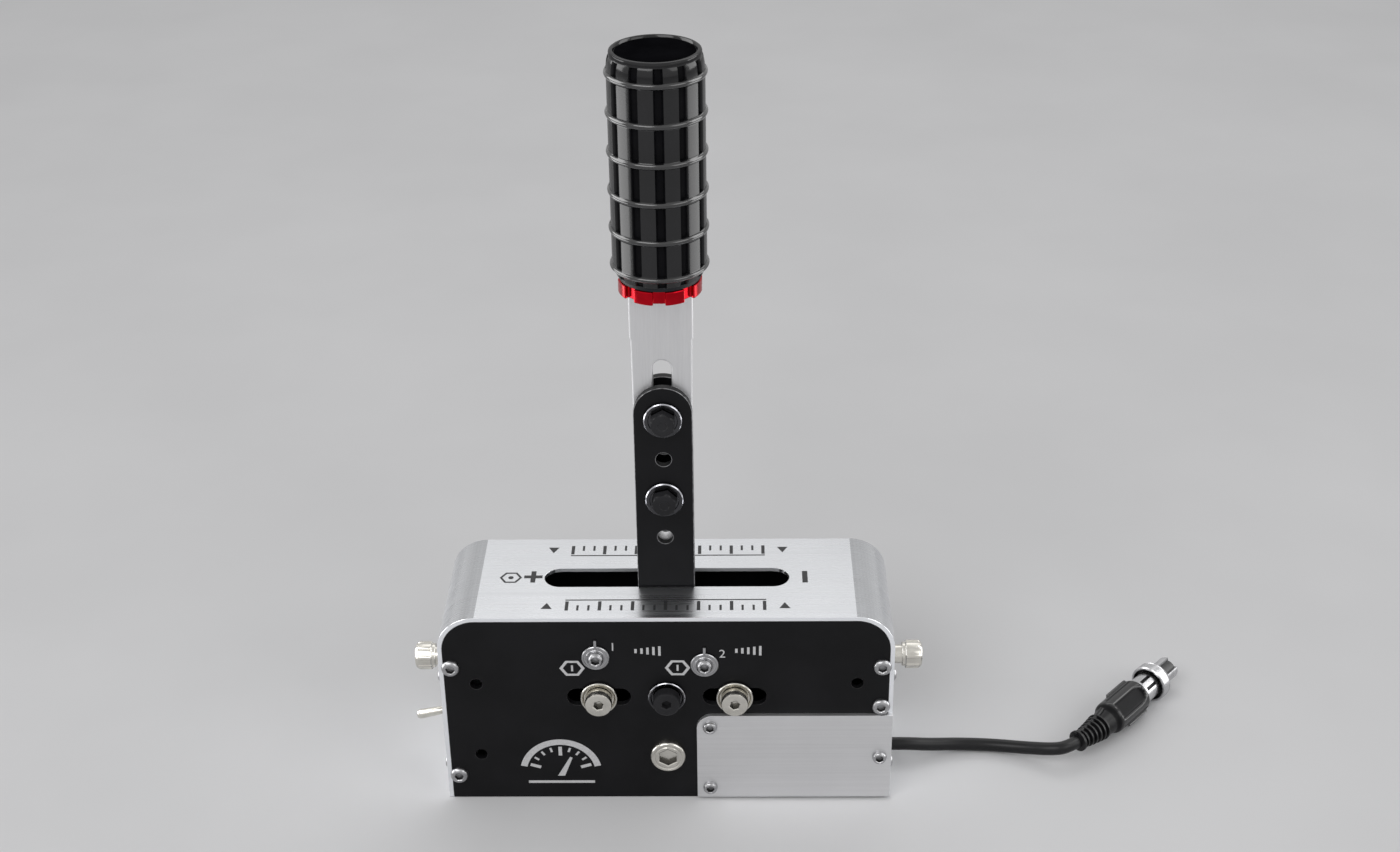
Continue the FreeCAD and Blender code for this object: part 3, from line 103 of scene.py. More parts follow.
def share(label, description, default):
    return bpy.props.FloatProperty(name=label, description=description, default=default,
                                   min=0.0, max=1.0, subtype="FACTOR")


def colour(label, description, default):
    return bpy.props.FloatVectorProperty(name=label, description=description, default=default,
                                         size=3, min=0.0, max=1.0, subtype="COLOR")


def count(label, description, default):
    return bpy.props.IntProperty(name=label, description=description, default=default, min=1)


def angle(label, description, default):
    return bpy.props.FloatProperty(name=label, description=description, default=default,
                                   subtype="ANGLE", unit="ROTATION")


class StudioSettings(bpy.types.PropertyGroup):
    """Camera, lamps and floor."""
    lens: bpy.props.FloatProperty(name="Lens", description="Focal length in millimetres", default=52.29)
    pitch: angle("Pitch", "How far the camera looks down", radians(29.017))
    yaw: angle("Yaw", "How far the camera looks to the left of the rear", radians(0.94))
    roll: angle("Roll", "How far the camera leans", radians(0.717))
    place: bpy.props.FloatVectorProperty(name="Camera place", description="Where the camera stands",
                                         default=(0.0281, -0.7598, 0.5965), subtype="TRANSLATION",
                                         unit="LENGTH")
    key_power: bpy.props.FloatProperty(name="Key", description="Power of the key lamp in watts",
                                       default=12.0)
    panel_glow: bpy.props.FloatProperty(name="Panels", description="Brightness of the side panels in gloss",
                                        default=3.4)
    sky_light: share("Sky light", "Strength of the light from all round", 0.4)
    sky: share("Background", "Brightness of the background that the camera sees", 0.74)
    floor: colour("Floor", "Colour of the floor", (0.8, 0.8, 0.81))


class FinishSettings(bpy.types.PropertyGroup):
    """Base colours of the finishes."""
    cover: colour("Cover", "Brushed aluminium of the cover", (0.66, 0.67, 0.69))
    badge: colour("Badge plate", "Blasted aluminium of the badge plate", (0.74, 0.74, 0.75))
    coat: colour("Black coat", "Satin powder coat of the plates and bars", (0.006, 0.006, 0.007))
    bar: colour("Handle bar", "Blasted aluminium of the handle bar", (0.72, 0.72, 0.73))
    red: colour("Collar", "Gloss red anodising of the collar", (0.42, 0.005, 0.012))
    grip: colour("Grip", "Glossy moulded sleeve", (0.005, 0.005, 0.006))
    nickel: colour("Nickel", "Knobs and guide pins", (0.66, 0.64, 0.59))
    steel: colour("Steel", "Zinc plated screws and selectors", (0.42, 0.42, 0.43))
    rubber: colour("Cord", "Rubber of the cord and its strain relief", (0.008, 0.008, 0.009))
    plug: colour("Plug", "Moulded body of the plug", (0.008, 0.008, 0.009))
    chrome: colour("Plug metal", "Shell and ring of the plug", (0.5, 0.5, 0.51))
    dark_print: colour("Dark print", "Marks on the cover", (0.015, 0.015, 0.017))
    pale_print: colour("Pale print", "Marks on the front plate", (0.62, 0.62, 0.63))
    wear: share("Edge wear", "How bright the bare edges of coated parts are", 0.5)


class GripSettings(bpy.types.PropertyGroup):
    """The sleeve of the grip."""
    bottom: length("Bottom", "Height of the sleeve's lower end", 0.248)
    height: length("Height", "Length of the sleeve", 0.0925)
    radius: length("Radius", "Radius over the bars between the grooves", 0.0195)
    bore: length("Bore", "Radius of the bore", 0.01555)
    bars: count("Bars", "Long bars round the sleeve", 12)
    bar_turn: angle("Turn", "Turn of the bars about the long axis", radians(19.5))
    groove_share: share("Groove share", "Share of each bar's pitch that its groove takes", 0.33)
    groove_depth: length("Groove depth", "Depth of the long grooves", 0.0013)
    rib_first: length("First rib", "Height of the first rib above the bottom", 0.004)
    rib_pitch: length("Rib pitch", "Distance between ribs", 0.0163)
    rib_height: length("Rib height", "How far a rib stands proud", 0.00095)
    rib_width: length("Rib width", "Width of a rib at its foot", 0.0026)
    shoulder: length("Shoulder", "Height over which the top end rounds in", 0.0075)
    shoulder_drop: length("Shoulder drop", "How far the top end rounds in", 0.0012)
    foot_taper: length("Foot taper", "How far the foot draws in under the first rib", 0.0016)


class PlugSettings(bpy.types.PropertyGroup):
    """Cord, strain relief and plug."""
    cord_diameter: length("Cord diameter", "Outside diameter of the cord", 0.006)
    cord_length: length("Cord length", "Length of the cord from the gland to the strain relief", 0.0913)
    boot_bend: length("Boot bend", "Radius that the strain relief bends on", 0.1255)
    boot_turn: angle("Boot turn", "How far the strain relief turns", radians(10))
    boot_core: length("Boot core", "Radius of the strain relief between its ribs", 0.0033)
    boot_ribs: count("Boot ribs", "Ribs of the strain relief", 7)
    boot_ribbed: share("Ribbed share", "Share of the strain relief that has ribs", 0.8)
    boot_start: length("First rib", "Radius of the rib at the cord", 0.0042)
    boot_end: length("Last rib", "Radius of the rib at the plug", 0.0064)
    heading: angle("Heading", "Direction of the plug on the floor", radians(49))
    shell_roll: angle("Shell roll", "Turn of the keyway from the top", radians(27))
    body_roll: angle("Body roll", "Turn of the thumb panel from the top", radians(40))


class HardwareSettings(bpy.types.PropertyGroup):
    """Screws, bolts, pins and springs."""
    screw_head: length("Screw head", "Radius of a plate screw's head", 0.004)
    screw_height: length("Head height", "Height of a plate screw's head", 0.0023)
    screw_hex: length("Hex socket", "Half the width across the flats of its socket", 0.00175)
    spring_radius: length("Spring radius", "Radius at the middle of the wire", 0.0069)
    spring_wire: length("Spring wire", "Radius of the wire", 0.0011)
    spring_turns: bpy.props.FloatProperty(name="Spring turns", description="Turns of each spring",
                                          default=6.0)
    edge: length("Edge", "Chamfer on cut sheet edges", 0.0003)


def studio():
    return bpy.context.scene.handbrake_studio


def finishes():
    return bpy.context.scene.handbrake_finishes


def grip():
    return bpy.context.scene.handbrake_grip


def plug():
    return bpy.context.scene.handbrake_plug


def hardware():
    return bpy.context.scene.handbrake_hardware


# Node trees written as arithmetic

class Wire:
    """One output of a node. Arithmetic on it adds Math nodes to its tree; node() adds any other node."""

    def __init__(self, tree, output=None):
        self.tree = tree
        self.output = output

    def node(self, kind, settings=None, values=None, take=0):
        """A new node: its settings first, then its sockets by name or place, with values or links."""
        node = self.tree.nodes.new(kind)
        for name, value in (settings or {}).items():
            if name == "stops":
                ramp = node.color_ramp.elements
                while len(ramp) < len(value):
                    ramp.new(0.5)
                for stop, (place, shade) in zip(ramp, value):
                    stop.position = place
                    stop.color = shade
            else:
                setattr(node, name, value)
        for name, value in (values or {}).items():
            if isinstance(value, Wire):
                self.tree.links.new(value.output, node.inputs[name])
            else:
                node.inputs[name].default_value = value
        return Wire(self.tree, node.outputs[take] if len(node.outputs) else None)

    def math(self, operation, *terms, clamp=False):
        return self.node("ShaderNodeMath", {"operation": operation, "use_clamp": clamp},
                         dict(enumerate(terms)))

    def __add__(self, other):
        return self.math("ADD", self, other)

    __radd__ = __add__

    def __sub__(self, other):
        return self.math("SUBTRACT", self, other)

    def __rsub__(self, other):
        return self.math("SUBTRACT", other, self)

    def __mul__(self, other):
        return self.math("MULTIPLY", self, other)

    __rmul__ = __mul__

    def __truediv__(self, other):
        return self.math("DIVIDE", self, other)

    def __rtruediv__(self, other):
        return self.math("DIVIDE", other, self)

    def __gt__(self, other):
        return self.math("GREATER_THAN", self, other)

    def __lt__(self, other):
        return self.math("LESS_THAN", self, other)

    def __abs__(self):
        return self.math("ABSOLUTE", self)

    def clamp(self):
        return self.math("ADD", self, 0.0, clamp=True)

    def ramp(self, low, high):
        """0 below low, 1 above high, a smooth rise between."""
        return self.node("ShaderNodeMapRange", {"interpolation_type": "SMOOTHSTEP"},
                         {"Value": self, "From Min": low, "From Max": high})

    def between(self, low, high):
        """The number between two others at this share."""
        return low + self * (high - low)

    def tint(self, low, high):
        """The colour between two others at this share."""
        return self.node("ShaderNodeMix", {"data_type": "RGBA"}, {0: self, 6: low, 7: high}, take=2)

    def times(self, vector):
        return self.node("ShaderNodeVectorMath", {"operation": "MULTIPLY"}, {0: self, 1: vector})

    def noise(self, scale, detail=3.0, roughness=0.55):
        return self.node("ShaderNodeTexNoise", None,
                         {"Vector": self, "Scale": scale, "Detail": detail, "Roughness": roughness})


def solid(rgb, level=1.0):
    return (rgb[0] * level, rgb[1] * level, rgb[2] * level, 1.0)


class Finish:
    """A new material: its Principled shader, its coordinates and its edge mask."""

    def __init__(self, **constants):
        self.material = bpy.data.materials.new("finish")
        self.material.use_nodes = True
        self.tree = self.material.node_tree
        self.shader = self.tree.nodes["Principled BSDF"]
        for socket, value in constants.items():
            self.shader.inputs[socket.replace("_", " ").title().replace("Ior", "IOR")].default_value = value
        self.start = Wire(self.tree)
        self.place = self.start.node("ShaderNodeTexCoord", take=3)
        self.edge = self.mark("edge")

    def mark(self, name):
        """A mark of the mesh: its edges, recesses, cut sides or bends. Metal finishes paint a highlight on
        the edges and cut sides and paint shade in the recesses and on the bends; coats show rubbed wear on
        the edges.
        """
        return self.start.node("ShaderNodeAttribute", {"attribute_name": name}, take=2)

    def feed(self, **wires):
        for socket, wire in wires.items():
            self.tree.links.new(wire.output, self.shader.inputs[socket.replace("_", " ").title()])
        return self

    def bump(self, height, depth):
        """Height from 0 to 1 as relief of that depth in metres."""
        normal = self.start.node("ShaderNodeBump", None,
                                 {"Strength": 1.0, "Distance": depth, "Height": height})
        return self.feed(normal=normal)


def brushed(rgb, grain, low=0.24, high=0.4, depth=0.000012, shade=0.1, spots=0.25):
    """Brushed metal: fine lines across the grain, soft clouds, painted highlights on the chamfers and cut
    sides, and painted shade on the bends.
    """
    finish = Finish(metallic=1.0)
    line = finish.place.times(grain)
    fine = line.noise(1.0, 4.0, 0.7)
    broad = line.times((0.12, 0.12, 0.12)).noise(1.0, 2.0)
    cloud = finish.place.noise(22.0, 3.0)
    scratch = (fine * 0.6 + broad * 0.4).ramp(0.3, 0.7)
    tone = scratch.tint(solid(rgb, 1.0 - shade), solid(rgb, 1.0 + shade))
    tone = (cloud.ramp(0.35, 0.75) * spots).tint(tone, solid(rgb, 0.84))
    # Painted highlight: the chamfered edges are painted lighter.
    tone = (finish.edge * 0.8).tint(tone, solid(rgb, 1.3))
    cut = finish.mark("cut")
    # Painted highlight: the cut sides of the sheet are painted lighter still.
    tone = cut.tint(tone, solid(rgb, 1.4))
    # Painted shade: the bends are painted darker, most where they leave the top.
    tone = (finish.mark("fold") * 0.75).tint(tone, solid(rgb, 0.45))
    finish.feed(base_color=tone,
                roughness=scratch.between(high, low) - finish.edge * 0.08 + cut * 0.28)
    finish.bump(fine, depth)
    return finish.material


def coated(rgb, edge_tone, wear, low=0.34, high=0.46, grit=2600.0, depth=0.00001):
    """Powder coat: a fine orange-peel skin whose edges are rubbed lighter."""
    finish = Finish(specular_ior_level=0.16)
    grain = finish.place.noise(grit, 2.0)
    cloud = finish.place.noise(30.0, 4.0)
    rub = finish.place.noise(420.0, 4.0).ramp(0.35, 0.6)
    worn = finish.edge * rub.between(0.35, 1.0) * wear
    tone = cloud.ramp(0.3, 0.7).tint(solid(rgb, 0.8), solid(rgb, 1.35))
    tone = worn.tint(tone, solid(edge_tone))
    finish.feed(base_color=tone, roughness=cloud.between(low, high) + grain * 0.05 - worn * 0.1,
                metallic=worn * 0.6)
    finish.bump(grain, depth)
    return finish.material


def plated(rgb, low=0.12, high=0.26, grit=900.0, depth=0.000006, shade=0.08, bare=1.25):
    """Plated turned metal: faint tool marks, clouds of tarnish, a painted highlight on the marked edges and
    painted shade in the marked recesses.
    """
    finish = Finish(metallic=1.0)
    marks = finish.place.noise(grit, 3.0)
    cloud = finish.place.noise(160.0, 3.0)
    tone = cloud.ramp(0.3, 0.7).tint(solid(rgb, 1.0 - shade), solid(rgb, 1.0 + shade))
    # Painted highlight: the marked edges are painted brighter, by the factor bare.
    tone = (finish.edge * 0.6).tint(tone, solid(rgb, bare))
    recess = finish.mark("recess")
    # Painted shade: the marked recesses are painted nearly black.
    tone = (recess * 0.9).tint(tone, solid(rgb, 0.03))
    finish.feed(base_color=tone, roughness=cloud.between(low, high) + marks * 0.04 + recess * 0.3)
    finish.bump(marks, depth)
    return finish.material


DUST = (0.2, 0.2, 0.2)


def moulded(rgb, low, high, grit, depth, gloss=0.5, dust=0.0, shine=None):
    """Moulded plastic or rubber: a fine skin, uneven gloss, a little dust and a shine where it's wanted."""
    finish = Finish(specular_ior_level=gloss, coat_ior=1.75, coat_roughness=0.14)
    skin = finish.place.noise(grit, 3.0)
    cloud = finish.place.noise(70.0, 4.0)
    tone = cloud.ramp(0.3, 0.75).tint(solid(rgb, 0.75), solid(rgb, 1.3))
    specks = finish.place.noise(1500.0, 2.0).ramp(0.62, 0.75) * dust
    tone = specks.tint(tone, solid(DUST))
    finish.feed(base_color=tone, roughness=cloud.between(low, high) + specks * 0.3 + skin * 0.03)
    if shine:
        finish.feed(coat_weight=shine(finish))
    finish.bump(skin, depth)
    return finish.material


def proud(level):
    """A shine of this strength: none in a recess, and more on the ribs, where the mark is below 0."""
    return lambda finish: (1.0 - finish.mark("recess")) * level


def rim(radius, level):
    """A shine of this strength outside a radius about the Z axis."""
    def over(finish):
        far = finish.place.node("ShaderNodeVectorMath", {"operation": "LENGTH"},
                                {0: finish.place.times((1, 1, 0))}, take="Value")
        return far.ramp(radius, radius + 0.3 * MM) * level
    return over


def circuit():
    """A printed board: green mask with paler tracks and gold pads."""
    finish = Finish(coat_weight=0.4, coat_roughness=0.1)
    tracks = finish.place.node("ShaderNodeTexBrick", {"offset": 0.35},
                               {"Vector": finish.place, "Scale": 320.0, "Mortar Size": 0.03,
                                "Brick Width": 1.3, "Row Height": 0.4}, take=1)
    pads = finish.place.node("ShaderNodeTexVoronoi", None,
                             {"Vector": finish.place, "Scale": 260.0, "Randomness": 0.6})
    pad = 1.0 - pads.ramp(0.12, 0.16)
    tone = tracks.tint(solid((0.02, 0.13, 0.06)), solid((0.05, 0.24, 0.11)))
    tone = pad.tint(tone, solid((0.72, 0.55, 0.22)))
    finish.feed(base_color=tone, roughness=pad.between(0.42, 0.25), metallic=pad * 0.9)
    finish.bump(tracks + pad, 0.00004)
    return finish.material


def threaded(rgb, pitch):
    """A steel rod with a cut thread along X, its roots painted darker and its crests lighter."""
    finish = Finish(metallic=1.0)
    along = finish.place.node("ShaderNodeSeparateXYZ", None, {0: finish.place})
    wave = finish.start.math("PINGPONG", along, pitch * 0.5) * (2.0 / pitch)
    cloud = finish.place.noise(300.0, 3.0)
    # Painted shade in the thread's roots and painted highlight on its crests.
    tone = wave.tint(solid(rgb, 0.45), solid(rgb, 1.1))
    finish.feed(base_color=tone, roughness=cloud.between(0.25, 0.42))
    finish.bump(wave, 0.0004)
    return finish.material


def printed_ink(rgb):
    """Screen-printed ink with a soft grain."""
    finish = Finish()
    grain = finish.place.noise(1800.0, 3.0)
    tone = grain.ramp(0.3, 0.7).tint(solid(rgb, 0.88), solid(rgb, 1.08))
    finish.feed(base_color=tone, roughness=grain.between(0.4, 0.6))
    finish.bump(grain, 0.000006)
    return finish.material


def make_finishes():
    """Every finish of the object, by the name of its slot in the record or its own name."""
    tone = finishes()
    lines = 900.0
    slow = 9.0
    made = {
        "cover_aluminium": brushed(tone.cover, (slow, lines, slow), 0.22, 0.36),
        "badge_aluminium": brushed(tone.badge, (slow, slow, lines), 0.42, 0.55, shade=0.04),
        "machined_aluminium": brushed((0.55, 0.56, 0.58), (lines, slow, lines), 0.26, 0.4),
        "bar_aluminium": brushed(tone.bar, (700.0, 700.0, 30.0), 0.42, 0.54, shade=0.05, spots=0.12),
        "black_coat": coated(tone.coat, (0.3, 0.3, 0.31), tone.wear),
        "bar_coat": coated(tone.coat, (0.34, 0.34, 0.35), 0.9, 0.3, 0.42),
        "black_steel": coated((0.02, 0.02, 0.022), (0.4, 0.4, 0.42), 0.8, 0.24, 0.38),
        # This steel's marked rims are painted eleven times as bright as its base, a painted highlight.
        "dark_steel": plated((0.07, 0.07, 0.075), 0.12, 0.22, bare=11.0),
        "red_anodised": plated(tone.red, 0.14, 0.22, shade=0.14),
        "grip_black": moulded(tone.grip, 0.3, 0.4, 1400.0, 0.000006, gloss=0.04, dust=0.03,
                              shine=proud(0.48)),
        "cap_black": moulded(tone.grip, 0.4, 0.5, 2200.0, 0.00001, gloss=0.0, dust=0.02,
                             shine=rim(16.0 * MM, 0.5)),
        "core_black": moulded((0.006, 0.007, 0.01), 0.35, 0.5, 1800.0, 0.00001, gloss=0.3, dust=0.1),
        "nickel": plated(tone.nickel, 0.14, 0.26),
        "screw_steel": plated(tone.steel, 0.18, 0.34),
        "spring_steel": plated((0.42, 0.42, 0.44), 0.25, 0.4),
        "bronze": plated((0.6, 0.42, 0.2), 0.25, 0.4, shade=0.16),
        "magnet": plated((0.7, 0.7, 0.72), 0.12, 0.22),
        "board_green": circuit(),
        "chip_black": moulded((0.02, 0.02, 0.02), 0.5, 0.65, 2600.0, 0.00001),
        "post_nylon": moulded((0.8, 0.79, 0.75), 0.4, 0.5, 1500.0, 0.00001),
        "cord_rubber": moulded(tone.rubber, 0.28, 0.36, 1600.0, 0.00002, gloss=0.3, dust=0.05),
        "plug_black": moulded(tone.plug, 0.4, 0.5, 1800.0, 0.00002, gloss=0.08, dust=0.03,
                              shine=proud(0.6)),
        "plug_metal": plated(tone.chrome, 0.2, 0.3),
        "insert_plastic": moulded((0.03, 0.03, 0.03), 0.4, 0.5, 1800.0, 0.00001),
        "rod_thread": threaded(tone.steel, 1.25 * MM),
        "dark_print": printed_ink(tone.dark_print),
        "pale_print": printed_ink(tone.pale_print),
    }
    for name, material in made.items():
        material.name = name
    return made


FINISH = {}


# Meshes

def piece(name, mesh, finish, body, replaced=(), smooth=30.0):
    """An object at the origin with its finish and its slot, riding on a body."""
    thing = bpy.data.objects.new(name, mesh)
    bpy.context.scene.collection.objects.link(thing)
    mesh.materials.clear()
    mesh.materials.append(FINISH[finish])
    shade(mesh, smooth)
    return settle(thing, body, replaced)


def settle(thing, body, replaced=()):
    """Tells the frame the piece's body, unless it is blended and the nodes it stands for."""
    if body is not None:
        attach(thing, body)
    if replaced:
        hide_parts(*replaced)
    return thing


def shade(mesh, smooth):
    """Smooth shading with sharp edges past an angle, and no normals carried over."""
    for old in [item for item in mesh.attributes if item.name == "custom_normal"]:
        mesh.attributes.remove(old)
    mesh.shade_smooth()
    mesh.set_sharp_from_angle(angle=radians(smooth))


def from_lists(name, points, faces, at=Matrix()):
    """A mesh of points in metres and faces, put in its place."""
    mesh = bpy.data.meshes.new(name)
    mesh.from_pydata([at @ Vector(point) for point in points], [], faces)
    mesh.update()
    return mesh


def marked(mesh, name, levels, domain="FACE"):
    """Stores a number on each face or point, such as how far it lies in a recess or on an edge."""
    mesh.attributes.new(name, "FLOAT", domain).data.foreach_set("value", levels)
    return mesh


def joined(name, *meshes):
    """One mesh of several, which are used up."""
    whole = bmesh.new()
    for mesh in meshes:
        whole.from_mesh(mesh)
        bpy.data.meshes.remove(mesh)
    result = bpy.data.meshes.new(name)
    whole.to_mesh(result)
    whole.free()
    return result


def toward(at, axis, turn=0.0):
    """The matrix that stands a part made along Z at a point, along an axis."""
    lean = Z.rotation_difference(Vector(axis)).to_matrix().to_4x4()
    return Matrix.Translation(Vector(at) * MM) @ lean @ Matrix.Rotation(turn, 4, "Z")


def round_section(theta):
    return 1.0


def hexagon(theta):
    """Distance to a hexagon whose flats are at distance 1."""
    step = pi / 3
    return 1.0 / cos((theta + step / 2) % step - step / 2)


def turned(name, profile, at=Matrix(), sides=72, ring=False, dark=(), bright=()):
    """A part turned round Z from (radius, height) in mm; a third item shapes that ring by angle.

    A radius of 0 at either end is a pole; ring=True joins the last ring to the first. The steps
    of the profile listed for shade are marked as recess, where a plated finish paints shade, and
    those listed for light are marked as edge, where it paints a highlight.
    """
    points = []
    rings = []
    for radius, height, *section in profile:
        section = section[0] if section else round_section
        if radius == 0:
            rings.append([len(points)])
            points.append((0, 0, height * MM))
            continue
        rings.append(list(range(len(points), len(points) + sides)))
        for number in range(sides):
            theta = 2 * pi * number / sides
            reach = radius * section(theta) * MM
            points.append((reach * cos(theta), reach * sin(theta), height * MM))
    faces, sunk, bare = [], [], []
    pairs = list(zip(rings, rings[1:])) + ([(rings[-1], rings[0])] if ring else [])
    for step, (low, high) in enumerate(pairs):
        # Steps listed for shade carry painted shade on plated metal; steps listed for light a painted
        # highlight.
        sunk += [float(step in dark or step - len(pairs) in dark)] * sides
        bare += [float(step in bright)] * sides
        for number in range(sides):
            after = (number + 1) % sides
            corners = [low[number % len(low)], low[after % len(low)],
                       high[after % len(high)], high[number % len(high)]]
            faces.append(list(dict.fromkeys(corners)))
    mesh = marked(from_lists(name, points, faces, at), "recess", sunk)
    return outward(marked(mesh, "edge", bare))


def lathed(name, profile, at, finish, body, replaced=(), sides=72, smooth=25.0, **marks):
    """A piece turned round Z."""
    return piece(name, turned(name, profile, at, sides, **marks), finish, body, replaced, smooth)


def outward(mesh):
    """Merges what touches and turns the faces outwards."""
    shell = bmesh.new()
    shell.from_mesh(mesh)
    bmesh.ops.remove_doubles(shell, verts=shell.verts, dist=1e-7)
    bmesh.ops.recalc_face_normals(shell, faces=shell.faces)
    shell.to_mesh(mesh)
    shell.free()
    return mesh


SHARP_TURN = 32.0
FOLD_END = 0.85


def mark_folds(shell):
    """Marks the cut sides of a folded sheet, on which a brushed finish paints a highlight, and its bends, on
    which it paints shade, most where they leave the top.
    """
    cut, fold = (shell.faces.layers.float.new(name) for name in ("cut", "fold"))
    shell.normal_update()
    for face in shell.faces:
        lean = abs(face.normal.x)
        face[cut] = float(abs(face.normal.y) > 0.9)
        face[fold] = float(lean > 0.02 and abs(face.normal.y) < 0.1) * max(0.0, 1 - lean / FOLD_END)


def chamfered(name, mesh, width, folded=False):
    """A copy of a mesh, merged, with its sharp edges cut and marked."""
    shell = bmesh.new()
    shell.from_mesh(mesh)
    bmesh.ops.remove_doubles(shell, verts=shell.verts, dist=1e-6)
    bmesh.ops.dissolve_limit(shell, angle_limit=radians(0.4), verts=shell.verts[:], edges=shell.edges[:])
    sharp = [edge for edge in shell.edges
             if len(edge.link_faces) == 2 and edge.calc_face_angle(0.0) > radians(SHARP_TURN)]
    mark = shell.faces.layers.float.new("edge")
    cut = bmesh.ops.bevel(shell, geom=sharp, offset=width, offset_type="OFFSET", segments=2,
                          profile=0.5, affect="EDGES", clamp_overlap=True)
    for face in cut["faces"]:
        face[mark] = 1.0
    if folded:
        mark_folds(shell)
    result = bpy.data.meshes.new(name)
    shell.to_mesh(result)
    shell.free()
    return result


def softened(node, finish, width=None, folded=False):
    """The node's shape with chamfered edges, in its place."""
    width = hardware().edge if width is None else width
    source = frame["nodes"][node]
    mesh = chamfered(node + "_dressed", source.data, width, folded)
    return piece(node + "_dressed", mesh, finish, source["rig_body"], (node,), smooth=20.0)


def block(low, high):
    """A box between two corners in mm."""
    (x0, y0, z0), (x1, y1, z1) = low, high
    points = [(x * MM, y * MM, z * MM) for x in (x0, x1) for y in (y0, y1) for z in (z0, z1)]
    faces = [(0, 1, 3, 2), (4, 6, 7, 5), (0, 4, 5, 1), (2, 3, 7, 6), (0, 2, 6, 4), (1, 5, 7, 3)]
    return outward(from_lists("block", points, faces))


def dress(names, finish):
    """Carried-over nodes take a finish as they are."""
    for name in names:
        mesh = frame["nodes"][name].data
        mesh.materials.clear()
        mesh.materials.append(FINISH[finish])


# Geometry Nodes

SOCKETS = {float: "NodeSocketFloat", int: "NodeSocketInt", bpy.types.Object: "NodeSocketObject",
           Vector: "NodeSocketVector"}


class Pattern:
    """A Geometry Nodes tree with named inputs that ends in Realize Instances and Set Material."""

    def __init__(self, name, **kinds):
        self.tree = bpy.data.node_groups.new(name, "GeometryNodeTree")
        face = self.tree.interface
        face.new_socket("Geometry", in_out="INPUT", socket_type="NodeSocketGeometry")
        self.sockets = {label: face.new_socket(label.replace("_", " ").capitalize(), in_out="INPUT",
                                               socket_type=SOCKETS[kind]).identifier
                        for label, kind in kinds.items()}
        self.sockets["material"] = face.new_socket("Material", in_out="INPUT",
                                                   socket_type="NodeSocketMaterial").identifier
        face.new_socket("Geometry", in_out="OUTPUT", socket_type="NodeSocketGeometry")
        entry = self.tree.nodes.new("NodeGroupInput")
        self.start = Wire(self.tree, entry.outputs[0])
        self.inputs = {label: Wire(self.tree, entry.outputs[number + 1])
                       for number, label in enumerate(self.sockets)}

    def __getitem__(self, label):
        return self.inputs[label]

    def end(self, geometry):
        real = geometry.node("GeometryNodeRealizeInstances", None, {0: geometry})
        real = real.node("GeometryNodeSetMaterial", None, {0: real, "Material": self["material"]})
        self.tree.links.new(real.output, self.tree.nodes.new("NodeGroupOutput").inputs[0])
        return self

    def made(self, name, mesh, finish, body, replaced=(), smooth=30.0, **values):
        """Runs the tree on a mesh and keeps the result as a plain piece."""
        seed = bpy.data.objects.new(name + "_seed", mesh)
        bpy.context.scene.collection.objects.link(seed)
        run = seed.modifiers.new(self.tree.name, "NODES")
        run.node_group = self.tree
        for label, value in {**values, "material": FINISH[finish]}.items():
            run[self.sockets[label]] = value
        seed.update_tag()
        bpy.context.view_layer.update()
        graph = bpy.context.evaluated_depsgraph_get()
        result = bpy.data.meshes.new_from_object(seed.evaluated_get(graph), depsgraph=graph,
                                                 preserve_all_data_layers=True)
        seed.modifiers.remove(run)
        bpy.data.objects.remove(seed)
        if not result.polygons:
            raise RuntimeError(f"{name} came out empty")
        result.name = name
        return piece(name, outward(result), finish, body, replaced, smooth)


def scatter_pattern():
    """Copies of one part on points, each along its point's aim and turned about it."""
    tree = Pattern("Parts on points", prototype=bpy.types.Object, size=float)
    aim = tree.start.node("GeometryNodeInputNamedAttribute", {"data_type": "FLOAT_VECTOR"}, {0: "aim"})
    turn = tree.start.node("GeometryNodeInputNamedAttribute", {"data_type": "FLOAT"}, {0: "turn"})
    lean = aim.node("FunctionNodeAlignRotationToVector", {"axis": "Z"}, {"Vector": aim})
    spin = turn.node("FunctionNodeAxisAngleToRotation", None, {"Axis": (0, 0, 1), "Angle": turn})
    whole = lean.node("FunctionNodeRotateRotation", {"rotation_space": "LOCAL"}, {0: lean, 1: spin})
    part = tree.start.node("GeometryNodeObjectInfo", None, {"Object": tree["prototype"]},
                           take="Geometry")
    copies = tree.start.node("GeometryNodeInstanceOnPoints", None,
                             {"Points": tree.start, "Instance": part, "Rotation": whole,
                              "Scale": tree["size"]})
    return tree.end(copies)


def repeated(name, prototype, places, finish, body, replaced=(), smooth=30.0):
    """One piece of equal parts: places are (point in mm, axis, turn)."""
    part = bpy.data.objects.new(name + "_part", prototype)
    bpy.context.scene.collection.objects.link(part)
    mesh = bpy.data.meshes.new(name + "_points")
    mesh.from_pydata([Vector(at) * MM for at, _, _ in places], [], [])
    mesh.attributes.new("aim", "FLOAT_VECTOR", "POINT")
    mesh.attributes.new("turn", "FLOAT", "POINT")
    for number, (_, axis, angle_about) in enumerate(places):
        mesh.attributes["aim"].data[number].vector = axis
        mesh.attributes["turn"].data[number].value = angle_about
    tree = pattern("scatter", scatter_pattern)
    thing = tree.made(name, mesh, finish, body, replaced, smooth, prototype=part, size=1.0)
    bpy.data.objects.remove(part)
    return thing


PATTERNS = {}


def pattern(name, maker):
    """The tree of that name, made once."""
    if name not in PATTERNS:
        PATTERNS[name] = maker()
    return PATTERNS[name]


RIB_SINK = 0.0003
RIB_SHINE = 1.2
BAR_COLUMNS = 16
SLEEVE_ROWS = 270


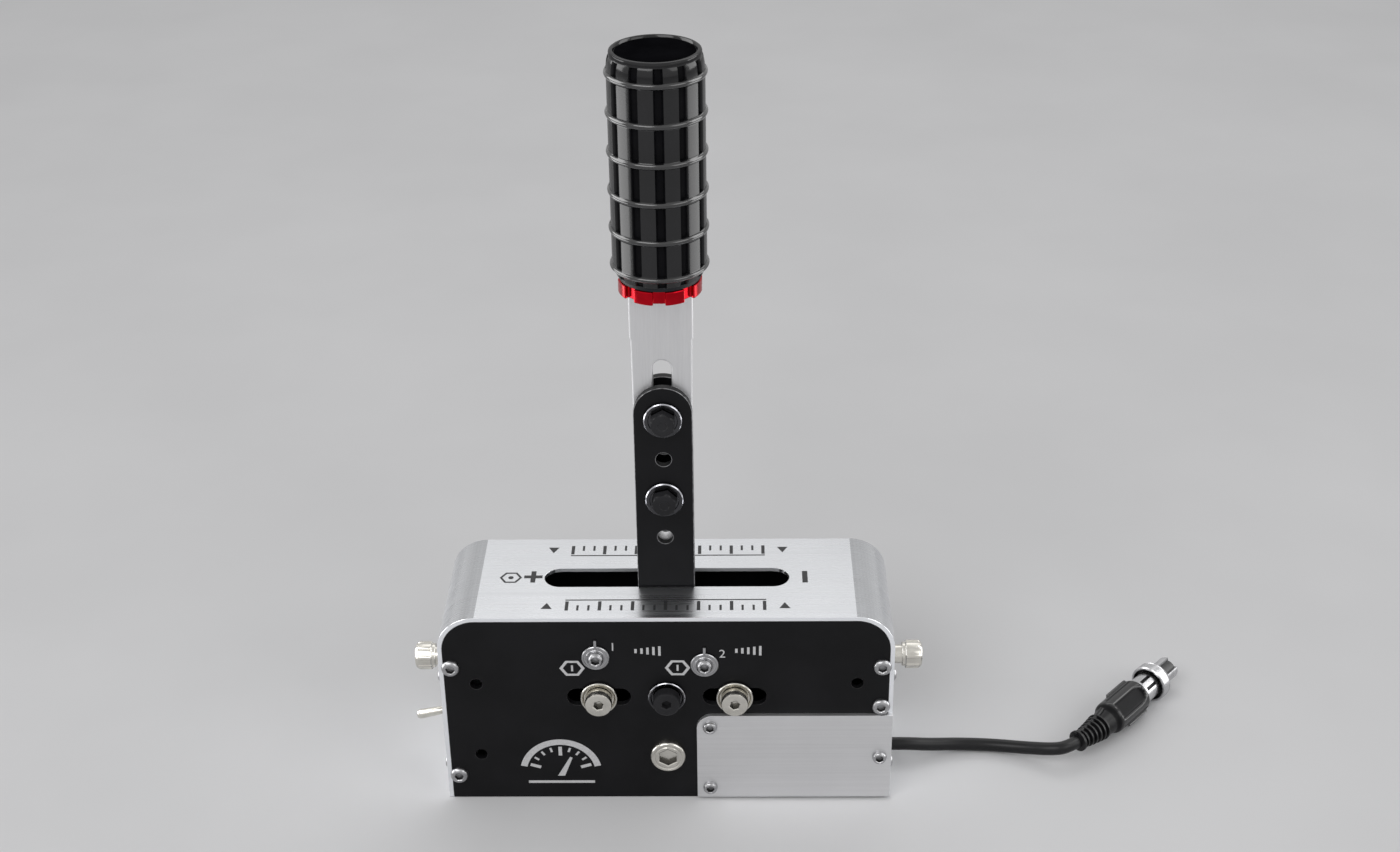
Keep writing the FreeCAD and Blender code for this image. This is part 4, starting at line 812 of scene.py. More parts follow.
def sleeve_pattern():
    """The grip's sleeve: a grid rolled into a tube, with long grooves, ribs and a rounded end."""
    tree = Pattern("Grip sleeve", bottom=float, height=float, radius=float, bore=float, bars=float,
                   bar_turn=float, groove_share=float, groove_depth=float, rib_first=float,
                   rib_pitch=float, rib_height=float, rib_width=float, shoulder=float,
                   shoulder_drop=float, foot_taper=float, columns=int, rows=int)
    start = tree.start
    columns, rows = tree["columns"], tree["rows"]
    grid = start.node("GeometryNodeMeshGrid", None,
                      {"Size X": 1.0, "Size Y": 1.0, "Vertices X": columns, "Vertices Y": rows})
    index = start.node("GeometryNodeInputIndex")
    column = start.math("FLOOR", index / rows + 0.0001)
    row = index - column * rows

    around = column / (columns - 1.0) * tree["bars"]
    bar = start.math("ROUND", around)
    off = around - bar
    lean = off * 2.0
    spread = lean * (2.0 - abs(lean))
    theta = (bar + spread * 0.5) / tree["bars"] * (2 * pi) + tree["bar_turn"]
    from_groove = 1.0 - abs(spread)
    groove = 1.0 - from_groove.ramp(tree["groove_share"] * 0.8, tree["groove_share"] * 1.15)

    pitch, first = tree["rib_pitch"], tree["rib_first"]
    low = 0.0 - start.math("SQRT", first / pitch * 0.5)
    top = (tree["height"] - first) / pitch
    whole = start.math("FLOOR", top)
    high = whole + start.math("SQRT", (top - whole) * 0.5)
    step = (row - 1.0) / (rows - 4.0)
    walk = low + step.clamp() * (high - low)
    rib = start.math("ROUND", walk)
    beside = walk - rib
    rise = first + pitch * (rib + beside * abs(beside) * 2.0)
    rise = start.math("MINIMUM", start.math("MAXIMUM", rise, 0.0), tree["height"])
    from_rib = abs(beside * abs(beside) * 2.0 * pitch) / (tree["rib_width"] * 0.5)
    bulge = start.math("SQRT", start.math("MAXIMUM", 1.0 - from_rib * from_rib, 0.0))

    over = start.math("MAXIMUM", (rise - tree["height"] + tree["shoulder"]) / tree["shoulder"], 0.0)
    drop = (1.0 - start.math("SQRT", 1.0 - over * over * 0.97)) * tree["shoulder_drop"] * 1.21
    foot = (1.0 - rise / first).clamp() * tree["foot_taper"]
    wall = tree["radius"] - groove * tree["groove_depth"] - drop - foot
    ring = tree["radius"] - RIB_SINK + bulge * (tree["rib_height"] + RIB_SINK) - foot
    outer = start.math("MAXIMUM", wall, ring * (bulge > 0.001))
    outside = (step > -0.0001) * (step < 1.0001)
    radius = outside.between(tree["bore"], outer)
    closing = row > (rows - 1.5)
    height = tree["bottom"] + rise * (1.0 - closing)
    where = start.node("ShaderNodeCombineXYZ", None,
                       {0: radius * start.math("COSINE", theta), 1: radius * start.math("SINE", theta),
                        2: height})
    hollow = groove * (bulge < 0.001) - (bulge > 0.001) * RIB_SHINE
    noted = grid.node("GeometryNodeStoreNamedAttribute", {"data_type": "FLOAT", "domain": "POINT"},
                      {"Geometry": grid, "Name": "recess", "Value": hollow})
    rolled = noted.node("GeometryNodeSetPosition", None, {"Geometry": noted, "Position": where})
    sealed = rolled.node("GeometryNodeMergeByDistance", None, {0: rolled, "Distance": 1e-7})
    return tree.end(sealed)


def spring_pattern():
    """An open coil of even pitch along X."""
    tree = Pattern("Coil spring", radius=float, wire=float, turns=float, start=float, end=float,
                   height=float)
    start = tree.start
    coil = start.node("GeometryNodeCurveSpiral", None,
                      {"Resolution": 40, "Rotations": tree["turns"], "Start Radius": tree["radius"],
                       "End Radius": tree["radius"], "Height": tree["end"] - tree["start"]})
    section = start.node("GeometryNodeCurvePrimitiveCircle", None,
                         {"Resolution": 14, "Radius": tree["wire"]})
    wire = coil.node("GeometryNodeCurveToMesh", None,
                     {"Curve": coil, "Profile Curve": section, "Fill Caps": True})
    place = start.node("ShaderNodeCombineXYZ", None, {0: tree["start"], 2: tree["height"]})
    laid = wire.node("GeometryNodeTransform", None,
                     {"Geometry": wire, "Rotation": (0, pi / 2, 0), "Translation": place})
    return tree.end(laid)


SPINE_LEAN = radians(20)
SPINE_RADIUS = 0.001
SCALE_SOCKET = bpy.app.version >= (4, 5, 0)


def boot_pattern():
    """The strain relief: a bent core with ribs that grow towards the plug, and a spine on top."""
    tree = Pattern("Strain relief", bend=float, begin=float, sweep=float, core=float, ribs=float,
                   ribbed_share=float, rib_start=float, rib_end=float, centre=Vector)
    start = tree.start
    arc = start.node("GeometryNodeCurveArc", None,
                     {"Resolution": 260, "Radius": tree["bend"], "Start Angle": tree["begin"],
                      "Sweep Angle": tree["sweep"]})
    along = start.node("GeometryNodeSplineParameter")
    beat = along / tree["ribbed_share"] * tree["ribs"]
    number = start.math("FLOOR", beat)
    wide = (number < 0.5).between(0.46, 0.66)
    from_rib = abs(beat - number - 0.5) / (wide * 0.5)
    bulge = (1.0 - from_rib.ramp(0.7, 1.0)) * (beat < tree["ribs"])
    crown = tree["rib_start"] + (tree["rib_end"] - tree["rib_start"]) * (number / (tree["ribs"] - 1.0))
    crown = crown + (number < 0.5) * 0.0008
    core = tree["core"] + (tree["rib_end"] - tree["core"]) * along * along
    radius = core + (crown - core) * bulge
    fat = arc.node("GeometryNodeSetCurveRadius", None, {"Curve": arc, "Radius": radius})
    section = start.node("GeometryNodeCurvePrimitiveCircle", None, {"Resolution": 48, "Radius": 1.0})
    skin = fat.node("GeometryNodeCurveToMesh", None,
                    {"Curve": fat, "Profile Curve": section, "Fill Caps": True,
                     **({"Scale": radius} if SCALE_SOCKET else {})})
    lift = core + 0.0004
    here = start.node("GeometryNodeInputPosition")
    inward = here.node("ShaderNodeVectorMath", {"operation": "SCALE"},
                       {0: here, "Scale": 1.0 - lift * sin(SPINE_LEAN) / tree["bend"]})
    upward = start.node("ShaderNodeCombineXYZ", None, {2: lift * cos(SPINE_LEAN)})
    spine = arc.node("GeometryNodeSetPosition", None, {"Geometry": arc, "Position": inward, "Offset": upward})
    spine = spine.node("GeometryNodeSetCurveRadius", None, {"Curve": spine, "Radius": SPINE_RADIUS})
    ridge = spine.node("GeometryNodeCurveToMesh", None,
                       {"Curve": spine, "Profile Curve": section, "Fill Caps": True,
                        **({"Scale": SPINE_RADIUS} if SCALE_SOCKET else {})})
    both = skin.node("GeometryNodeJoinGeometry", None, {0: skin})
    tree.tree.links.new(ridge.output, both.output.node.inputs[0])
    moved = both.node("GeometryNodeTransform", None, {"Geometry": both, "Translation": tree["centre"]})
    return tree.end(moved)


# Studio

class HANDBRAKE_OT_studio(bpy.types.Operator):
    """Camera, floor, sky and lamps"""
    bl_idname = "handbrake.studio"
    bl_label = "Studio"

    def execute(self, context):
        setting = studio()
        camera_data = bpy.data.cameras.new("camera")
        camera_data.lens = setting.lens
        camera_data.sensor_fit = "HORIZONTAL"
        camera = bpy.data.objects.new("camera", camera_data)
        p, y, r = setting.pitch, setting.yaw, setting.roll
        ahead = Vector((-sin(y) * cos(p), cos(y) * cos(p), -sin(p)))
        flat_right = Vector((cos(y), sin(y), 0))
        flat_up = Vector((-sin(y) * sin(p), cos(y) * sin(p), cos(p)))
        right = flat_right * cos(r) - flat_up * sin(r)
        up = flat_right * sin(r) + flat_up * cos(r)
        turn = Matrix((right, up, -ahead)).transposed().to_4x4()
        camera.matrix_world = Matrix.Translation(setting.place) @ turn
        context.scene.collection.objects.link(camera)
        context.scene.camera = camera

        under = -0.3
        floor_mesh = turned("floor", [(0, under), (200, under), (4000, under)], sides=96)
        floor = bpy.data.objects.new("floor", floor_mesh)
        context.scene.collection.objects.link(floor)
        finish = Finish(specular_ior_level=0.0)
        finish.material.name = "floor"
        cloud = finish.place.noise(6.0, 3.0)
        grain = finish.place.noise(500.0, 2.0)
        finish.feed(base_color=cloud.ramp(0.2, 0.8).tint(solid(setting.floor, 0.97),
                                                         solid(setting.floor, 1.02)),
                    roughness=grain.between(0.6, 0.75))
        floor_mesh.materials.append(finish.material)

        world = bpy.data.worlds.new("sky")
        world.use_nodes = True
        context.scene.world = world
        tree = world.node_tree
        tree.nodes.clear()
        start = Wire(tree)
        rays = start.node("ShaderNodeLightPath")
        seen = [Wire(tree, rays.output.node.outputs[name])
                for name in ("Is Camera Ray", "Is Glossy Ray", "Is Transmission Ray")]
        shown = start.math("MAXIMUM", start.math("MAXIMUM", seen[0], seen[1]), seen[2])
        strength = shown.between(setting.sky_light, setting.sky)
        sky = start.node("ShaderNodeBackground", None, {"Color": (1, 1, 1, 1), "Strength": strength})
        start.node("ShaderNodeOutputWorld", None, {"Surface": sky})

        middle = Vector((0, 0, 0.16))
        lamps = [("key", (-0.75, -1.25, 1.55), (1.3, 1.0), setting.key_power),
                 ("fill", (1.3, -0.9, 1.1), (1.0, 1.0), setting.key_power * 0.4),
                 ("back", (0.1, 1.3, 1.5), (1.8, 0.6), setting.key_power * 0.32)]
        for name, place, size, power in lamps:
            self.lamp(name, place, middle, size, power)
        panels = [("panel_left", (-0.46, 0.04, 0.1), (0.42, 0.2), 1.1),
                  ("panel_left_high", (-0.5, 0.1, 0.56), (0.42, 0.5), 1.1),
                  ("panel_right", (0.46, 0.07, 0.1), (0.3, 0.2), 0.8),
                  ("panel_right_high", (0.5, 0.1, 0.56), (0.3, 0.5), 0.9)]
        for name, place, (wide, tall), level in panels:
            power = setting.panel_glow * level * pi * wide * tall
            panel = self.lamp(name, place, Vector((0, 0, place[2])), (wide, tall), power)
            panel.visible_diffuse = False
        context.scene.view_settings.view_transform = "Standard"
        return {"FINISHED"}

    def lamp(self, name, place, aim, size, power):
        """An area lamp that the camera doesn't see."""
        light = bpy.data.lights.new(name, "AREA")
        light.shape = "RECTANGLE"
        light.size, light.size_y = size
        light.energy = power
        thing = bpy.data.objects.new(name, light)
        thing.rotation_euler = (Vector(place) - aim).to_track_quat("Z", "Y").to_euler()
        thing.location = place
        thing.visible_camera = False
        bpy.context.scene.collection.objects.link(thing)
        return thing


# Cord and plug

ROUTE = [(101.5, -4.0, 8.0), (110.0, -4.0, 8.0), (121.0, -1.4, 5.4), (134.0, 1.2, 3.7),
         (150.0, 0.9, 3.3), (164.5, -3.2, 4.8), (177.04, -9.25, 8.5), (183.59, -8.57, 9.2),
         (188.49, -4.6, 9.2)]
BODY_END = 28.0
SHELL_END = 57.5
RING_START, RING_END = 38.5, 45.0


def plug_tail():
    """Where the strain relief meets the plug's body."""
    setting = plug()
    first = setting.heading - setting.boot_turn
    bend = setting.boot_bend / MM
    end = Vector(ROUTE[-1])
    return end + Vector((sin(setting.heading) - sin(first), cos(first) - cos(setting.heading), 0)) * bend


def along_plug(roll):
    """The matrix of a part made along Z, from the plug's tail, whose +X side is up before the roll."""
    heading = plug().heading
    ahead = Vector((cos(heading), sin(heading), 0))
    turn = Matrix((Z, ahead.cross(Z), ahead)).transposed().to_4x4()
    return Matrix.Translation(plug_tail() * MM) @ turn @ Matrix.Rotation(roll, 4, "Z")


def wrapped(name, stations, reach, sides, at, full):
    """A closed skin round Z: stations are heights in mm, reach(theta, height) the radius in mm.

    What lies more than half a millimetre under the full radius is marked as recess.
    """
    points, faces, levels = [], [], []
    for height in stations:
        for number in range(sides):
            theta = 2 * pi * number / sides
            radius = reach(theta, height)
            levels.append(min(1.0, max(0.0, (full - radius) / 0.5)))
            points.append((radius * cos(theta) * MM, radius * sin(theta) * MM, height * MM))
    for ring in range(len(stations) - 1):
        for number in range(sides):
            after = (number + 1) % sides
            faces.append((ring * sides + number, ring * sides + after,
                          (ring + 1) * sides + after, (ring + 1) * sides + number))
    last = (len(stations) - 1) * sides
    faces.append(tuple(reversed(range(sides))))
    faces.append(tuple(range(last, last + sides)))
    return outward(marked(from_lists(name, points, faces, at), "recess", levels, "POINT"))


def eased(value, low, high):
    """0 below low, 1 above high, a smooth rise between."""
    share_of = min(1.0, max(0.0, (value - low) / (high - low)))
    return share_of * share_of * (3 - 2 * share_of)


def body_reach(theta, height):
    """The plug's body: round, with a sunk thumb panel above and below and a rib along each flank."""
    lean = abs((theta + pi / 2) % pi - pi / 2)
    full, sunk, narrow = 8.0, 7.35, 6.4
    front, end_round, half = 25.6, 5.0, 4.9
    across = full * sin(lean)
    nose = max(0.0, height - (front - end_round))
    wide = half * sqrt(max(0.0, 1 - (nose / end_round) ** 2))
    inside = eased(wide - across, 0.0, 0.6) * eased(height, 4.0, 5.5)
    flat = 7.0 / max(0.5, cos(lean))
    radius = full - (full - min(sunk, flat - 0.35)) * inside
    groove = eased(0.16 - abs(lean - 1.2), 0.0, 0.08)
    groove *= eased(height, 5.0, 6.0) * eased(26.5 - height, 0, 1)
    rib = eased(0.09 - abs(lean - pi / 2), 0.0, 0.05)
    rib *= eased(height, 10.5, 11.5) * eased(27.4 - height, 0, 1)
    radius += 1.1 * rib - 0.6 * groove
    tail = eased(4.5 - height, 0.0, 4.5)
    radius = radius * (1 - tail) + min(radius, narrow) * tail
    nose_cut = max(0.0, height - (BODY_END - 1.5))
    return radius - nose_cut * nose_cut / 1.5


def shell_reach(theta, height):
    """The plug's shell: a neck with two slots beside a spring tongue, and a nose with a wide keyway."""
    lean = abs((theta + pi) % (2 * pi) - pi)
    radius = 6.4 if height < RING_END + 0.3 else 5.5
    if 29.6 < height < 37.5 and radians(13) < lean < radians(26):
        radius -= 1.5
    if height > RING_END + 0.6 and lean < radians(33):
        radius = 3.9
    if height > SHELL_END - 0.5:
        radius -= 0.3
    return radius


class HANDBRAKE_OT_cord(bpy.types.Operator):
    """The free cord, its strain relief and its round plug"""
    bl_idname = "handbrake.cord"
    bl_label = "Cord and plug"

    def execute(self, context):
        setting = plug()
        curve = bpy.data.curves.new("cord_run", "CURVE")
        curve.dimensions = "3D"
        spline = curve.splines.new("NURBS")
        spline.points.add(len(ROUTE) - 1)
        for point, place in zip(spline.points, ROUTE):
            point.co = (*(Vector(place) * MM), 1.0)
        spline.order_u = 3
        spline.use_endpoint_u = True
        spline.resolution_u = 24
        curve.bevel_depth = setting.cord_diameter / 2
        curve.bevel_resolution = 8
        curve.use_fill_caps = True
        curve.materials.append(FINISH["cord_rubber"])
        cord = bpy.data.objects.new("cord_run", curve)
        context.scene.collection.objects.link(cord)
        settle(cord, "housing", ("cord",))

        bend = setting.boot_bend
        first = setting.heading - setting.boot_turn
        end = Vector(ROUTE[-1]) * MM
        centre = end + Vector((-sin(first), cos(first), 0)) * bend
        boot = boot_pattern().made("strain_relief", bpy.data.meshes.new("seed"), "cord_rubber", "housing",
                                   ("plug_boot",), bend=bend, begin=first - pi / 2,
                                   sweep=setting.boot_turn, core=setting.boot_core,
                                   ribs=float(setting.boot_ribs), ribbed_share=setting.boot_ribbed,
                                   rib_start=setting.boot_start,
                                   rib_end=setting.boot_end, centre=centre)
        at = along_plug(setting.shell_roll)
        stations = [0, 0.3, 0.8] + [1.5 + 0.5 * step for step in range(51)] + [26.8, 27.2, 27.6, 27.9, 28.0]
        skin = wrapped("plug_handle", stations, body_reach, 240, along_plug(setting.body_roll), 7.8)
        body = piece("plug_handle", skin, "plug_black", "housing", ("plug_body",), smooth=40)
        heights = [28.0, 29.5, 29.59, 29.61, 32, 35, 37.49, 37.51, 38, 41, 45.2, 45.29, 45.31, 45.59, 45.61,
                   48, 52, 56.9, 56.99, 57.1, 57.5]
        shell = piece("plug_sleeve", wrapped("plug_sleeve", heights, shell_reach, 240, at, 5.4), "plug_metal",
                      "housing", ("plug_shell",), smooth=25)
        wide, seam, inside = 9.1, 8.8, 6.5
        hoop = [(inside, RING_START + 3.0), (8.0, RING_START + 3.0), (8.0, RING_START), (8.6, RING_START),
                (wide, RING_START + 0.5), (wide, RING_END - 1.8), (seam, RING_END - 1.6),
                (seam, RING_END - 1.3), (wide - 0.1, RING_END - 1.1), (8.4, RING_END), (inside, RING_END)]
        # The floor and wall of the cup at the ring's rear are marked for painted shade.
        ring = lathed("plug_hoop", hoop, at, "plug_metal", "plug_ring", ("coupling_ring",), 96, ring=True,
                      dark=(0, 1))
        rod = turned("pin", [(0, 0), (0.6, 0), (0.6, 23.1), (0.4, 23.6), (0, 23.7)], sides=16)
        spread = [(Vector((2.6 * cos(radians(45 * n - 90)), 2.6 * sin(radians(45 * n - 90)), 33.5)) * MM)
                  for n in range(5)]
        pins = repeated("plug_pins", rod, [((at @ point) / MM, at.to_3x3() @ Z, 0.0) for point in spread],
                        "plug_metal", "housing")
        disc = [(0, 33), (4.2, 33), (4.2, 56.2), (3.9, 56.5), (0, 56.5)]
        core = lathed("plug_core", disc, at, "insert_plastic", "housing", ("plug_insert",), 64, 30.0)
        gland = [(0, 0), (3.8, 0), (3.8, 10.2), (4.8, 10.3), (4.8, 11.0), (4.3, 11.5), (0, 11.5)]
        lathed("cord_exit", gland, toward((90, -4, 8), X), "cord_rubber", "housing", ("cord_gland",), 48)
        return {"FINISHED"}


# Housing

class HANDBRAKE_OT_housing(bpy.types.Operator):
    """The folded cover, the coated plates, the badge plate and the end blocks"""
    bl_idname = "handbrake.housing"
    bl_label = "Housing"

    def execute(self, context):
        softened("top_cover", "cover_aluminium", folded=True)
        softened("badge_plate", "badge_aluminium", 0.0005)
        for name in ("front_plate", "rear_plate", "base_plate"):
            softened(name, "black_coat")
        dress(("end_block_left", "end_block_right"), "machined_aluminium")
        return {"FINISHED"}


# Screws, bolts, pins

def screw_mesh(head, height, shank, reach, hex_half, deep):
    """A round-headed socket screw along Z, whose head stands up from 0."""
    # The wall of the hex socket is marked for painted shade.
    return turned("screw", [(0, -reach), (shank - 0.3, -reach), (shank, -reach + 0.3), (shank, 0),
                            (head, 0), (head, height * 0.32), (head * 0.97, height * 0.55),
                            (head * 0.88, height * 0.8), (head * 0.74, height * 0.96),
                            (head * 0.6, height), (hex_half * 1.25, height),
                            (hex_half * 1.1, height - 0.15, hexagon), (hex_half, height - 0.3, hexagon),
                            (hex_half, height - deep, hexagon), (0, height - deep - 0.3)], sides=60,
                  dark=(-2,))


FRONT_SCREWS = [(94.7, 72), (-94.7, 72), (-94.7, 13), (94.7, 50.7)]
REAR_SCREWS = FRONT_SCREWS + [(94.7, 24)]
BADGE_PLACES = [(18.9, 40.9), (18.9, 7.1), (94.7, 24)]


class HANDBRAKE_OT_screws(bpy.types.Operator):
    """The socket screws of the plates, the cover, the base and the badge plate"""
    bl_idname = "handbrake.screws"
    bl_label = "Screws"

    def execute(self, context):
        setting = hardware()
        head, height = setting.screw_head / MM, setting.screw_height / MM
        half = setting.screw_hex / MM

        def plate_screw(reach=11.0):
            return screw_mesh(head, height, 2.0, reach, half, 2.0)

        front = [((x, -HALF_DEPTH, z), -Y, 0.3 * n) for n, (x, z) in enumerate(FRONT_SCREWS)]
        repeated("front_screws", plate_screw(), front, "screw_steel", "housing", ("front_plate_screws",))
        rear = [((x, HALF_DEPTH, z), Y, 0.4 * n) for n, (x, z) in enumerate(REAR_SCREWS)]
        repeated("rear_screws", plate_screw(), rear, "screw_steel", "housing", ("rear_plate_screws",))
        ends = [((sign * HALF_LENGTH, 0, 40), X * sign, 0.2) for _, sign in SIDES]
        repeated("wall_screws", plate_screw(9.0), ends, "screw_steel", "housing", ("end_wall_screws",))
        corners = [((sign * HALF_LENGTH, y, z), X * sign, 0.1 * z) for _, sign in SIDES
                   for y in (-25, 25) for z in (15, 63)]
        repeated("wall_corner_screws", screw_mesh(2.7, 1.5, 1.2, 2.6, 1.0, 0.9), corners, "screw_steel",
                 "housing")
        badge = [((x, -BADGE_FACE, z), -Y, 0.5 * n) for n, (x, z) in enumerate(BADGE_PLACES)]
        repeated("badge_plate_screws", screw_mesh(3.2, height, 1.5, 5.0, half * 0.9, 2.0), badge,
                 "screw_steel", "housing", ("badge_screws",))
        dress(("base_screws",), "screw_steel")
        return {"FINISHED"}


class HANDBRAKE_OT_pins(bpy.types.Operator):
    """The guide pins and their rings, the middle plunger and the pivot bolt"""
    bl_idname = "handbrake.pins"
    bl_label = "Pins and pivot"

    def execute(self, context):
        tip, face, half = 38.8, 33.8, 2.0
        end = [(0, tip - 2.5), (half, tip - 2.5, hexagon), (half, tip - 0.25, hexagon),
               (half * 1.2, tip, hexagon), (5.2, tip), (5.75, tip - 0.25), (6.0, tip - 0.8),
               (6.0, face + 0.3), (5.7, face), (4.5, face)]
        # The walls of the hex sockets at both ends are marked for painted shade.
        pin = turned("pin", [(r, -z, *s) for r, z, *s in end] + end[::-1], sides=72, dark=(1, -2))
        pair = [((sign * PIN_REACH, 0, PIN_HEIGHT), Y, 0.26) for _, sign in SIDES]
        repeated("slide_pins", pin, pair, "nickel", "carriage", ("guide_pins",))
        dish = turned("dish", [(4.6, 0), (7.7, 0), (8.2, 0.4), (8.2, 1.15), (7.95, 1.5), (7.5, 1.5),
                               (6.6, 0.85), (4.6, 0.8)], sides=72, ring=True)
        places = [((sign * PIN_REACH, way * (HALF_DEPTH + 0.3), PIN_HEIGHT), Y * way, 0.0)
                  for _, sign in SIDES for way in (-1, 1)]
        repeated("slide_rings", dish, places, "nickel", "carriage", ("guide_rings",))

        middle = toward((0, -HALF_DEPTH, PIN_HEIGHT), -Y)
        top = [(0, 4.0), (half, 4.0, hexagon), (half, 6.2, hexagon), (half * 1.2, 6.5, hexagon), (5.2, 6.5),
               (5.8, 6.2), (6.0, 5.6), (6.0, 1.7), (5.7, 1.5), (4.5, 1.5), (4.5, -17.6), (0, -17.6)]
        lathed("plunger_pin", top, middle, "black_steel", "housing", ("friction_plunger",))
        ring = [(4.6, 0), (7.7, 0), (8.2, 0.4), (8.2, 1.2), (7.9, 1.5), (7.3, 1.5), (6.7, 1.0), (4.6, 0.9)]
        # The outer chamfer and the inner slope of the dish are marked for a painted highlight.
        lathed("plunger_dish", ring, middle, "dark_steel", "housing", ("plunger_ring",), ring=True,
               bright=(3, 5))

        hexa = 3.9
        bolt = [(0, 0.9), (1.2, 0.7), (hexa, 0.7, hexagon), (hexa, 2.75, hexagon),
                (hexa * 1.1, 3.0, hexagon), (5.5, 3.0), (5.75, 2.8), (6.3, 2.8), (6.6, 3.0), (7.4, 2.9),
                (7.8, 2.5), (8.0, 2.0), (8.0, 0.0), (5.0, 0.0), (5.0, -69.6), (4.6, -70.0), (0, -70.0)]
        # The wall of the hex socket is marked for painted shade.
        lathed("pivot_screw", bolt, toward((0, -HALF_DEPTH, PIVOT_HEIGHT), -Y), "nickel", "housing",
               ("pivot_bolt",), dark=(2,))
        nut = [(5.05, 0), (7.6, 0), (8.0, 0.3, hexagon), (8.0, 4.4, hexagon), (7.7, 5.0), (5.4, 5.0),
               (5.05, 4.7)]
        lathed("pivot_lock", nut, toward((0, HALF_DEPTH, PIVOT_HEIGHT), Y), "nickel", "housing",
               ("pivot_nut",), ring=True)
        dress(("pivot_sleeves",), "screw_steel")
        return {"FINISHED"}


class HANDBRAKE_OT_selectors(bpy.types.Operator):
    """The two mode selectors with their pointers, and the cams behind the plate"""
    bl_idname = "handbrake.selectors"
    bl_label = "Mode selectors"

    def execute(self, context):
        half = hardware().screw_hex / MM
        profile = [(0, -6.0), (2.5, -6.0), (2.5, 0.0), (5.8, 0.0), (6.1, 0.3), (6.1, 0.9), (5.8, 1.2),
                   (5.3, 1.2), (5.1, 1.0), (4.3, 1.0), (4.1, 1.2), (3.8, 1.2), (3.75, 1.9), (3.3, 3.0),
                   (2.7, 3.7), (2.3, 3.8), (half * 1.25, 3.8), (half, 3.5, hexagon), (half, 1.6, hexagon),
                   (0, 1.4)]
        near, far = -HALF_DEPTH - 1.2, -HALF_DEPTH - 0.15
        for name, x, z in (("left", -30.8, 77.4), ("right", 16.8, 73.5)):
            # The wall of each hex socket is marked for painted shade.
            knob = turned("selector", profile, toward((x, -HALF_DEPTH, z), -Y), 72, dark=(-2,))
            blade = chamfered("blade", block((x - 0.6, near, z + 5.2), (x + 0.6, far, z + 9.3)), 0.0002)
            piece(f"selector_{name}_knob", joined("knob", knob, blade), "screw_steel", f"selector_{name}",
                  (f"selector_{name}",), smooth=25)
        dress(("selector_cam_left", "selector_cam_right"), "screw_steel")
        return {"FINISHED"}


# Knobs, springs and toggle

def fluted(theta):
    """Eight broad flutes between narrow lands."""
    step = 2 * pi / 8
    off = abs((theta + step / 2) % step - step / 2) / (step / 2)
    return 1.0 - 0.075 * eased(off, 0.22, 0.5)


class HANDBRAKE_OT_knobs(bpy.types.Operator):
    """The spring preload knobs, their rods and seats, the springs and the carriage"""
    bl_idname = "handbrake.knobs"
    bl_label = "Knobs and springs"

    def execute(self, context):
        setting = hardware()
        drum = [(0, -5.4), (4.0, -5.4), (4.3, -5.1), (4.3, 0), (5.2, 0), (5.5, 0.3), (5.55, 1.4),
                (6.15, 1.65, fluted), (6.5, 2.0, fluted), (6.5, 7.3, fluted), (6.2, 8.0, fluted),
                (5.7, 8.5), (5.1, 9.0), (2.8, 9.0), (2.5, 8.7), (0, 8.7)]
        tree = pattern("spring", spring_pattern)
        wire = setting.spring_wire
        inner, outer, height = 36.4 * MM, 69.6 * MM, PIN_HEIGHT * MM
        for side, sign in SIDES:
            at = toward((sign * (HALF_LENGTH + 6), 0, PIN_HEIGHT), X * sign, radians(22))
            lathed(f"preload_knob_{side}", drum, at, "nickel", f"adjuster_{side}", (f"knob_{side}",), 160)
            dress((f"adjuster_rod_{side}",), "rod_thread")
            dress((f"spring_seat_{side}",), "bronze")
            low, high = sorted((sign * inner, sign * outer))
            coil = tree.made(f"coil_{side}", bpy.data.meshes.new("seed"), "spring_steel", None,
                             (f"spring_{side}",), radius=setting.spring_radius, wire=wire,
                             turns=setting.spring_turns, start=low + wire, end=high - wire,
                             height=height)
            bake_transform(coil, "housing", "carriage", start=(sign * outer, 0, height),
                     end=(sign * inner, 0, height))
        softened("spring_carriage", "machined_aluminium")
        return {"FINISHED"}


class HANDBRAKE_OT_toggle(bpy.types.Operator):
    """The toggle switch with its bat, bush and nut"""
    bl_idname = "handbrake.toggle"
    bl_label = "Toggle switch"

    def execute(self, context):
        tilt = radians(12.5)
        aim = Vector((-cos(tilt), 0, -sin(tilt)))
        heart = (1 - HALF_LENGTH, 0, TOGGLE_HEIGHT)
        wall = toward((-HALF_LENGTH, 0, TOGGLE_HEIGHT), -X)
        bat = [(0, -1.5), (0.9, -1.2), (1.45, -0.4), (1.5, 0.2), (1.3, 0.9), (1.1, 1.4), (1.1, 4.2),
               (1.8, 6.3), (2.0, 9.0), (2.2, 15.5), (2.25, 16.8), (2.1, 17.7), (1.7, 18.4), (1.0, 18.7),
               (0, 18.75)]
        stem = turned("bat", bat, toward(heart, aim), 48)
        pin = turned("pin", [(0, -2.5), (0.5, -2.5), (0.5, 2.5), (0, 2.5)], toward(heart, Y), 24)
        piece("toggle_lever", joined("lever", stem, pin), "nickel", "toggle", ("toggle_bat",), smooth=50)
        nut = [(3.05, 0), (3.8, 0), (4.0, 0.15, hexagon), (4.0, 1.5, hexagon), (3.8, 1.8), (3.05, 1.8)]
        lathed("toggle_lock", nut, wall, "nickel", "housing", ("toggle_nut",), 60, ring=True)
        crest, root, pitch, start = 3.06, 2.85, 0.8, 0.1
        rows = []
        for step in range(5):
            rows += [(crest, start + pitch * step), (root, start + pitch * step + pitch / 2)]
        rows += [(crest, 4.0), (2.7, 4.1), (2.65, 4.0), (2.65, 0.1)]
        lathed("toggle_bush", rows, wall, "nickel", "housing", sides=60, ring=True)
        dress(("toggle_switch",), "chip_black")
        return {"FINISHED"}


# Lever

